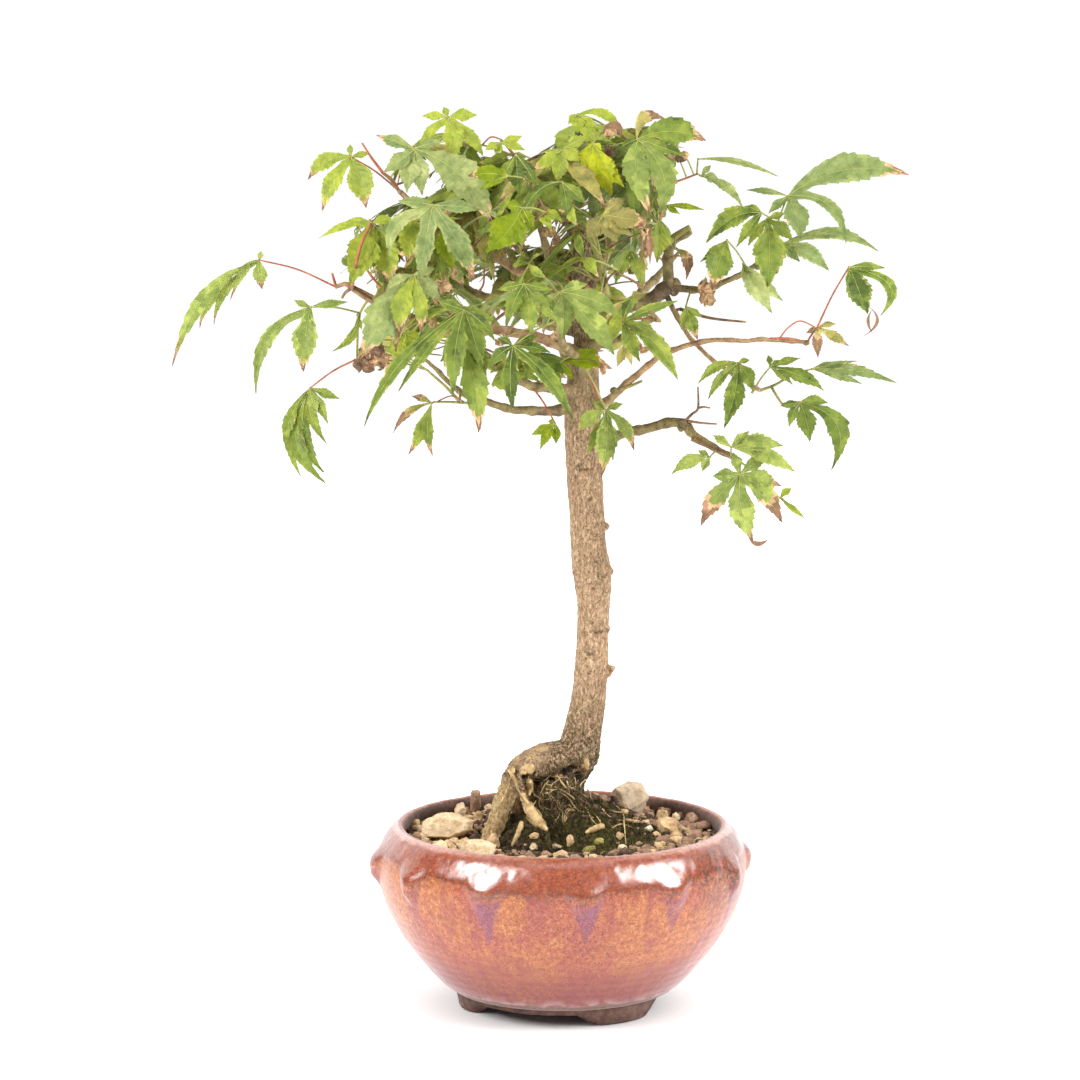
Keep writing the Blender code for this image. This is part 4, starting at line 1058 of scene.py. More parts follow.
def make_soil():
    rings, around_n = 120, 260
    r = 50.0 * np.linspace(0, 1, rings) ** 0.8
    a = np.linspace(0, 2 * pi, around_n, endpoint=False)
    A, R = np.meshgrid(a, r)
    x, y = (R * np.sin(A)).ravel(), (-R * np.cos(A)).ravel()
    z = soil_height(x, y)
    fine = fractal(np.column_stack([x, y, z]) * 1.6, 2)
    z = z + 0.22 * fine
    top = np.column_stack([x, y, z])
    skirt = top[-around_n:].copy()
    skirt[:, 2] = 46.0
    pts = np.vstack([top, skirt, [[0, 0, 46.0]]])
    f = grid_faces(rings + 1, around_n, True)
    k = np.arange(around_n)
    f = np.vstack([f, np.stack([rings * around_n + k, rings * around_n + (k + 1) % around_n, np.full(around_n, len(pts) - 1)], 1)])
    moss = smooth((26 - np.hypot((pts[:, 0] - 6) / 1.15, pts[:, 1] + 2)) / 12)
    s = Shader("soil_earth")
    n = s.noise(520.0, 6.0, 0.7)
    earth = s.ramp(n, [(0.3, srgb(46, 34, 28)), (0.5, srgb(84, 66, 54)), (0.7, srgb(140, 114, 94))])
    green = s.ramp(n, [(0.3, srgb(30, 26, 14)), (0.5, srgb(60, 52, 28)), (0.72, srgb(116, 104, 62))])
    col = s.mix(s.attr("moss"), earth, green)
    mat = s.finish(col, 0.95, s.bump(n, 0.0015, 0.9), Specular_IOR_Level=0.15)
    piece("soil_bed", pts, f, mat, True, ("soil",), attrs={"moss": np.clip(moss, 0, 1)})

    rng = np.random.RandomState(21)
    kinds = {k: Heap() for k in ("dark", "brown", "tan", "pale", "white", "moss", "grey")}
    for k in range(2600):
        q, ang = 49.3 * sqrt(rng.uniform()), rng.uniform(0, 2 * pi)
        x, y = q * sin(ang), -q * cos(ang)
        if hypot(x - 3, y - 12) < 7:
            continue
        size = rng.choice([0.55, 0.8, 1.1, 1.6, 2.2], p=[0.30, 0.28, 0.22, 0.14, 0.06]) * rng.uniform(0.8, 1.2)
        near = hypot((x - 4) / 1.25, y + 4) < 21
        if near and rng.uniform() < 0.72:
            continue
        left = x < -14
        kind = rng.choice(
            ["dark", "brown", "tan", "pale"],
            p=[0.84, 0.06, 0.08, 0.02] if near else ([0.24, 0.34, 0.30, 0.12] if left else [0.30, 0.50, 0.17, 0.03]),
        )
        if near and size > 1.2:
            size *= 0.6
        z = float(soil_height(x, y)[0])
        pts, f = chip(rng, np.array([x, y, z + size * 0.35]), size * np.array([1.0, rng.uniform(0.6, 1.0), rng.uniform(0.55, 0.9)]), 2 if size > 1.0 else 1)
        over = np.hypot(pts[:, 0], pts[:, 1]).max()
        if over < 50.2:
            kinds[kind].add(pts, f)
    for px, py, w, h, kind in PEBBLES:
        p = on_soil(px, py + h * 0.3)
        half = w / 2 / 3.25
        tall = h / 2 / 3.25 * 1.12
        pts, f = rock(rng, p + np.array([0, 0.5 * half, tall * 0.55]), (half, half * rng.uniform(0.7, 0.95), tall), rng.uniform(-0.4, 0.4), 0.12)
        out = np.hypot(pts[:, 0], pts[:, 1]).max()
        if out > 50.4:
            pts[:, :2] -= unit(p[:2]) * (out - 50.4)
        kinds[kind].add(pts, f)
    for name, (x, y, a_, b_, c_, lift, turn, kind) in STONES.items():
        z = float(soil_height(x, y)[0]) + 0.4
        r_ = np.random.RandomState({"stone_grey": 3, "stone_pale": 5, "stone_front": 12, "stone_tan": 14, "stone_brown": 21}[name])
        pts, f = rock(r_, np.array([x, y, z + lift]), (a_, b_, c_), radians(turn), 0.07 if kind == "pale" else 0.06, *((6, (0.55, 0.8), FLATS) if kind == "grey" else (11, (0.5, 0.8))))
        STONE_PARTS.append((name, pts, f, kind))
    mats = {
        "dark": grain_material("grain_dark", (52, 38, 30), (86, 66, 54), (128, 104, 86)),
        "brown": grain_material("grain_brown", (108, 82, 66), (156, 124, 100), (204, 172, 142)),
        "tan": grain_material("grain_tan", (160, 126, 88), (206, 172, 128), (238, 212, 170)),
        "pale": grain_material("grain_pale", (196, 162, 122), (228, 200, 160), (248, 234, 206)),
        "white": grain_material("grain_white", (210, 190, 154), (232, 216, 184), (246, 236, 212)),
        "moss": grain_material("grain_moss", (112, 106, 54), (156, 148, 80), (196, 184, 120)),
        "grey": grain_material("grain_grey", (176, 150, 122), (214, 190, 160), (238, 220, 194), 420.0),
    }
    for name, pts, f, kind in STONE_PARTS:
        piece(name + "_rock", pts, f, mats[kind], True, (name,))
    for kind, heap in kinds.items():
        if heap.count:
            pts, f = heap.arrays()
            piece("grains_" + kind, pts, f, mats[kind], False)

    # moss on the mound: short blades in a lit tone and a darker tone of painted shade, the lit one more often at the
    # front right
    tufts = {"deep": Heap(), "lit": Heap()}
    for k in range(9000):
        q, ang = 27 * sqrt(rng.uniform()), rng.uniform(0, 2 * pi)
        x, y = 6 + 1.2 * q * sin(ang), -2 - q * cos(ang)
        if hypot(x, y) > 49 or hypot(x - 3, y - 12) < 6.5:
            continue
        z = float(soil_height(x, y)[0])
        tall = rng.uniform(0.5, 1.5)
        lean = rng.normal(size=2) * 0.35
        w = rng.uniform(0.08, 0.16)
        turn = rng.uniform(0, 2 * pi)
        base = np.array([[x + w * cos(turn + j * 2.094), y + w * sin(turn + j * 2.094), z - 0.1] for j in range(3)])
        tip = np.array([[x + lean[0], y + lean[1], z + tall]])
        lit = rng.uniform() < (0.5 if (x > 10 and y < -6) else 0.16)
        tufts["lit" if lit else "deep"].add(np.vstack([base, tip]), [(0, 1, 3), (1, 2, 3), (2, 0, 3), (0, 2, 1)])
    for key, low, mid, high in (("deep", (32, 29, 14), (56, 50, 26), (90, 80, 46)), ("lit", (72, 74, 28), (104, 104, 44), (146, 142, 76))):
        pts, f = tufts[key].arrays()
        piece("moss_" + key, pts, f, grain_material("moss_" + key, low, mid, high), False)

    # fine roots over the mound
    heap = Heap()
    for places, radius in ROOTLETS:
        pts = [on_wood(px, py, 0.25 + 0.5 * radius) for px, py in places]
        run = spline(np.array(pts), 30)
        run += 0.12 * np.stack([fractal(run * 0.5 + k * 7 + len(heap.points), 2) for k in range(3)], 1)
        rad = radius * (0.66 if radius < 0.5 else 1.0) * np.interp(np.linspace(0, 1, 30), [0, 0.15, 0.7, 1], [0.8, 1.0, 0.9, 0.35])
        t, f = tube(run, rad, 8, limb_relief(len(heap.points) * 2.3, radius * 0.25))
        heap.add(t, f)
    for px, py, a, b in ((529.5, 769, 1.8, 1.8), (513, 771, 0.7, 1.2), (586, 764, 1.0, 2.2), (524, 773, 0.9, 0.7)):
        t, f = ball(on_wood(px, py, 0.15), np.array([a, 0.9, b]), 3)
        t = t + (fractal(t * 1.3, 2) * 0.35)[:, None] * unit(np.array([0.4, -0.8, 0.5]))
        heap.add(t, f)
    dull = Heap()
    for k in range(92):
        px, py = rng.uniform(520, 592), rng.uniform(774, 812)
        head = rng.choice([0.55, 1.3, 2.3]) + 0.4 * rng.normal()
        walk = []
        for step in range(rng.randint(4, 8)):
            walk.append(on_wood(px, py, rng.uniform(0.1, 0.9)))
            head += 0.5 * rng.normal()
            px, py = px + cos(head) * rng.uniform(3, 6), py + sin(head) * rng.uniform(3, 6)
            if not (506 < px < 642 and py < 838) or (px > 584 and py < 799) or len(walk) > 1 and np.linalg.norm(walk[-1] - walk[-2]) > 5:
                break
        if len(walk) < 4 or max(np.linalg.norm(a - b) for a, b in zip(walk[1:], walk[:-1])) > 5:
            continue
        run = spline(np.array(walk), len(walk) * 4)
        t, f = tube(run, np.linspace(1.0, 0.45, len(run)) * rng.choice([0.11, 0.15, 0.2]), 5)
        (heap if rng.uniform() < 0.30 else dull).add(t, f)
    for k in range(70):
        ang = rng.uniform(-3.0, 3.0)
        p = np.array([-0.5 + 6.2 * sin(ang), 8 - 7.5 * cos(ang), rng.uniform(60, 70)])
        way = unit(np.array([sin(ang), -cos(ang), -0.9]))
        walk = [p.copy()]
        for step in range(rng.randint(4, 8)):
            way = unit(way + rng.normal(size=3) * 0.85 + np.array([0, 0, -0.35]))
            p = p + way * rng.uniform(1.0, 2.4)
            most = 8.5 + (73 - p[2]) * 0.75
            far = hypot(p[0], p[1] - 8)
            if far > most:
                p[0], p[1] = p[0] * most / far, 8 + (p[1] - 8) * most / far
            ground = float(soil_height(p[0], p[1])[0]) + 0.25
            p[2] = max(p[2], ground)
            if p[2] <= ground:
                way[2] = 0.0
            walk.append(p.copy())
        run = spline(np.array(walk), len(walk) * 4)
        t, f = tube(run, np.linspace(1.0, 0.45, len(run)) * rng.choice([0.12, 0.17]), 5)
        (heap if rng.uniform() < 0.15 else dull).add(t, f)
    pts, f = dull.arrays()
    piece("fine_roots_dull", pts, f, twig_material("fine_root_dull", (54, 40, 25), (122, 98, 62)), True)
    pts, f = heap.arrays()
    piece("fine_roots", pts, f, twig_material("fine_root", (150, 116, 70), (232, 202, 146)), True)


STONE_PARTS = []


# ================================================================ leaves
LEAF = {}
TWIGS = {}
LEAF_COLOURS = {
    "deep": (80, 96, 38), "dark": (104, 122, 48), "moss": (122, 138, 56), "mid": (138, 152, 62), "leaf": (150, 163, 64),
    "fresh": (160, 173, 60), "lime": (126, 143, 16), "yellow": (186, 192, 32), "grass": (129, 144, 70), "spring": (156, 170, 84), "shade": (132, 148, 88), "grey": (148, 160, 94),
    "pale": (168, 177, 110), "drab": (146, 138, 76), "olive": (168, 158, 86), "straw": (192, 176, 110), "umber": (108, 84, 64), "russet": (138, 106, 80),
    "brown": (160, 124, 92), "tan": (198, 164, 120), "vein": (184, 190, 106), "sage": (125, 140, 80),
}
WIDE_T = [0.0, 0.08, 0.15, 0.28, 0.40, 0.50, 0.60, 0.72, 0.82, 0.90, 0.96, 1.0]
WIDE_W = [0.0, 0.24, 0.38, 0.66, 0.92, 1.00, 0.90, 0.62, 0.36, 0.17, 0.08, 0.0]


def heap_of(store, key):
    return store.setdefault(key, Heap())


# colours that follow one another: a patch of a leaf is a step paler or darker than the rest
STEPS = [
    ["deep", "dark", "moss", "mid", "leaf", "fresh"], ["sage", "shade", "grey", "pale"], ["drab", "olive", "straw"],
    ["umber", "russet", "brown", "tan"], ["grass", "spring"], ["lime"], ["yellow"],
]


def step_of(kind, by):
    for row in STEPS:
        if kind in row:
            return row[max(0, min(len(row) - 1, row.index(kind) + by))]
    return kind


def make_leaf(hub, normal, lobes, kind, rng, rows=31, cols=9, veins=True):
    """One palmate leaf.  Each lobe is (tip, via, full width, burnt share, curl)."""
    hub, normal = np.asarray(hub, float), unit(np.asarray(normal, float))
    tone_seed = rng.uniform(0, 60)
    t = np.linspace(0, 1, rows)
    base = []
    lengths = [np.linalg.norm(l[0] - hub) for l in lobes]
    main = int(np.argmax(lengths))
    e1 = unit(lobes[main][0] - hub)
    e2 = unit(np.cross(normal, e1))
    for (tip, via, width, burn, curl), length in zip(lobes, lengths):
        arch = normal * length * rng.uniform(0.03, 0.10)
        if via is None:
            bend = np.cross(normal, unit(tip - hub)) * length * rng.uniform(-0.05, 0.05)
            middle = (hub + tip) / 2 + bend + arch
        else:
            middle = via + arch * 0.6
        control = 2 * middle - (hub + tip) / 2
        rib = ((1 - t) ** 2)[:, None] * hub + (2 * t * (1 - t))[:, None] * control + (t**2)[:, None] * tip
        if curl:
            rib = rib + normal * (np.clip((t - 0.55) / 0.45, 0, 1) ** 2 * curl * length)[:, None]
        tang = np.gradient(rib, axis=0)
        tang /= np.linalg.norm(tang, axis=1)[:, None]
        side = np.cross(normal, tang)
        side /= np.maximum(np.linalg.norm(side, axis=1), 1e-6)[:, None]
        twist = rng.uniform(-0.35, 0.35) * t + (curl * 1.2 * t**3 if curl else 0)
        up = np.cross(tang, side)
        side = side * np.cos(twist)[:, None] + up * np.sin(twist)[:, None]
        up = np.cross(tang, side)
        d = unit(rib[rows // 3] - hub)
        base.append((atan2(d @ e2, d @ e1), rib, tang, side, up, length, width / 2, burn))
    order = sorted(range(len(base)), key=lambda k: base[k][0])
    sinus = {}
    for a, b in zip(order, order[1:]):
        gap = base[b][0] - base[a][0]
        if gap < radians(100):
            ds = rng.uniform(0.20, 0.28) * min(base[a][5], base[b][5])
            ta, tb = min(0.40, ds / base[a][5]), min(0.40, ds / base[b][5])
            pa = np.array([np.interp(ta, t, base[a][1][:, k]) for k in range(3)])
            pb = np.array([np.interp(tb, t, base[b][1][:, k]) for k in range(3)])
            sinus[(a, 1)] = (ta, (pa + pb) / 2)
            sinus[(b, -1)] = (tb, (pa + pb) / 2)
    u = np.linspace(-1, 1, cols)
    au = np.abs(u)
    faces = grid_faces(rows, cols)
    step = 1.0 / (rows - 1)
    vein = heap_of(TWIGS, "vein")
    margin = rng.choice([0, 0, 1])
    for k, (_, rib, tang, side, up, length, half, burn) in enumerate(base):
        h = np.interp(t, WIDE_T, WIDE_W) * half
        edges = {}
        for s_ in (-1, 1):
            e = rib + s_ * side * h[:, None]
            lo_t = 0.16
            if (k, s_) in sinus:
                ts, point = sinus[(k, s_)]
                lo_t = ts + 0.03
                at_s = np.array([np.interp(ts, t, rib[:, j]) for j in range(3)])
                web = hub + (point - hub) * np.minimum(1, t / ts)[:, None]
                shifted = point + (rib - at_s)
                w = smooth((t - ts) / 0.14)[:, None]
                e = np.where((t <= ts)[:, None], web, shifted * (1 - w) + e * w)
            out, fwd = np.full(rows, -0.07), np.zeros(rows)
            r = int(lo_t * rows) + 1 + rng.randint(0, 2)
            while r < rows - 2:
                gap = rng.choice([2, 3, 3, 4])
                tip_row = min(rows - 2, r + gap - 1)
                big = rng.uniform(0.10, 0.24) * (0.8 + 0.12 * gap)
                for q in range(r, tip_row + 1):
                    out[q] = -0.07 + (big + 0.07) * (q - r + 1) / (tip_row - r + 1)
                    fwd[q] = 0.9 * step * length * (q - r + 1) / (tip_row - r + 1)
                if tip_row + 1 < rows:
                    out[tip_row + 1] = -0.12
                r = tip_row + 1
            ease = smooth((t - lo_t) / 0.08) * smooth((1.0 - t) / 0.06)
            e = e + side * (s_ * out * ease * np.maximum(h, 0.12 * half))[:, None] + tang * (fwd * ease)[:, None]
            edges[s_] = e
        fold = rng.uniform(0.12, 0.42)
        wave = rng.uniform(0, 6)
        # painted_fold_shade makes one half of some lobes a step darker or paler: painted shade and light on the two
        # sides of the fold
        lobe_tone, painted_fold_shade = rng.uniform(-0.35, 0.35), rng.choice([0.0, 0.45, -0.45])
        grid = np.zeros((rows, cols, 3))
        for j in range(cols):
            e = edges[1] if u[j] > 0 else edges[-1]
            p = rib + au[j] * (e - rib)
            plump = fold * au[j] * h - 0.30 * au[j] ** 2 * h * fold
            ridge = 0.055 * half * np.sin(2 * pi * (t * 7.5 - au[j] * 1.3)) * au[j] * (1.1 - au[j]) * 4 * smooth(t / 0.2)
            ripple = 0.07 * half * au[j] ** 2 * np.sin(wave + t * 9 + u[j])
            grid[:, j] = p + up * (plump + ridge + ripple)[:, None]
        pts = grid.reshape(-1, 3)
        centre_t = (t[:-1] + t[1:])[:, None] / 2
        face_t = np.repeat(np.repeat(centre_t, cols - 1, 1).ravel(), 2)
        face_u = np.repeat(np.tile((au[:-1] + au[1:]) / 2, rows - 1), 2)
        ragged = np.repeat(rng.uniform(-0.04, 0.04, len(face_t) // 2), 2)
        tip_from = rng.choice([0.95, 1.1, 1.1])
        burn = burn * 0.5 if burn < 0.31 else burn
        if burn > 0:
            burnt = face_t + 0.10 * face_u + ragged > 1 - burn
            tan = (~burnt) & (face_t + 0.16 * face_u + ragged > 1 - burn * 1.06 - 0.04)
        else:
            burnt = (face_u > 0.78) & (rng.uniform(size=len(face_t)) < 0.012)
            tan = (~burnt) & (((face_u > 0.78) & (rng.uniform(size=len(face_t)) < 0.03)) | ((face_t > 0.94) & (face_t > tip_from)))
        live = ~(burnt | tan)
        # patches of the paler and the darker green, with the painted fold shade on one half of some lobes
        where = pts[faces].mean(1)
        where = np.repeat((where[0::2] + where[1::2]) / 2, 2, axis=0)
        patch = fractal(where * 0.16 + tone_seed, 2, 0.5) + lobe_tone
        patch = patch + np.where(np.repeat(np.tile((u[:-1] + u[1:]) / 2, rows - 1), 2) > 0, painted_fold_shade, 0)
        shift = np.digitize(patch, [-0.95, -0.42, 0.42, 0.95]) - 2
        shift = np.where((face_u > 0.80) & (np.abs(shift) < 2) & (margin > 0), shift + 1, shift)
        for by in (-2, -1, 0, 1, 2):
            part = live & (shift == by)
            if part.any():
                heap_of(LEAF, step_of(kind, by)).add(pts, faces[part])
        if burnt.any():
            crisp = burnt & (patch > (0.1 if burn < 0.3 else -0.35))
            for tone, part in (("brown", burnt & ~crisp), ("russet", crisp)):
                if part.any():
                    heap_of(LEAF, tone).add(pts, faces[part])
        if tan.any():
            heap_of(LEAF, "tan").add(pts, faces[tan])
        if veins and burn < 0.9:
            n = int(rows * 0.82)
            w = np.interp(t[:n], [0, 0.3, 0.82], [0.30, 0.19, 0.07]) * (1.0 if rows > 25 else 0.65)
            r, sd, un = rib[:n], side[:n], up[:n]
            ring = np.stack([r + un * (w * 0.9)[:, None], r - sd * w[:, None] * 0.8 - un * (w * 0.45)[:, None], r + sd * w[:, None] * 0.8 - un * (w * 0.45)[:, None]], 1)
            vein.add(ring.reshape(-1, 3), grid_faces(n, 3, True))


def palmate(hub, axis, normal, length, rng, count=7, droop=0.25, burn=0.0):
    """Lobes of a leaf that isn't traced: a fan that sags at its tips."""
    axis = unit(axis)
    normal = unit(normal - axis * (normal @ axis))
    side = np.cross(normal, axis)
    spread = [0, 36, -36, 73, -73, 112, -112][:count]
    size = [1.0, 0.9, 0.9, 0.64, 0.64, 0.36, 0.36][:count]
    lobes = []
    for a, s_ in zip(spread, size):
        a = radians(a + rng.uniform(-7, 7))
        long = length * s_ * rng.uniform(0.9, 1.1)
        d = axis * cos(a) + side * sin(a)
        tip = hub + d * long - normal * droop * long * rng.uniform(0.6, 1.3) * 0.5
        tip[2] -= droop * long * 0.35
        burnt = burn * rng.uniform(0.5, 1.5) if rng.uniform() < 0.5 else 0.0
        lobes.append((tip, None, long * rng.uniform(0.20, 0.27), min(0.8, burnt), 0.0))
    return lobes


def stalk(points, r0, r1, colour, sides=6, count=12, wander=0.0):
    run = spline(np.array(points, float), count)
    radius = np.linspace(r0, r1, count)
    pts, f = tube(run, radius, sides)
    heap_of(TWIGS, colour).add(pts, f)
    return run, radius


def twig_to(p, rng, colour="twig_green", r=0.5, sag=0.06, limit=None):
    """A twig from the nearest limb or twig to a place."""
    q, d = nearest(p)
    if d < 0.8:
        return
    a, b = q[:3], np.asarray(p, float)
    span = np.linalg.norm(b - a)
    mid = (a + b) / 2 + np.array([0, 0, span * sag]) + rng.normal(size=3) * span * 0.04
    run, radius = stalk([a, mid, b], min(max(r, 0.45 * q[3]), q[3] * 0.9 + 0.05), r * 0.75, colour, 7, max(8, int(span / 1.6)))
    remember(run[1:], radius[1:])


def L(x, y, w=0, via=None, burn=0.0, curl=0.0):
    return (x, y, w, via, burn, curl)


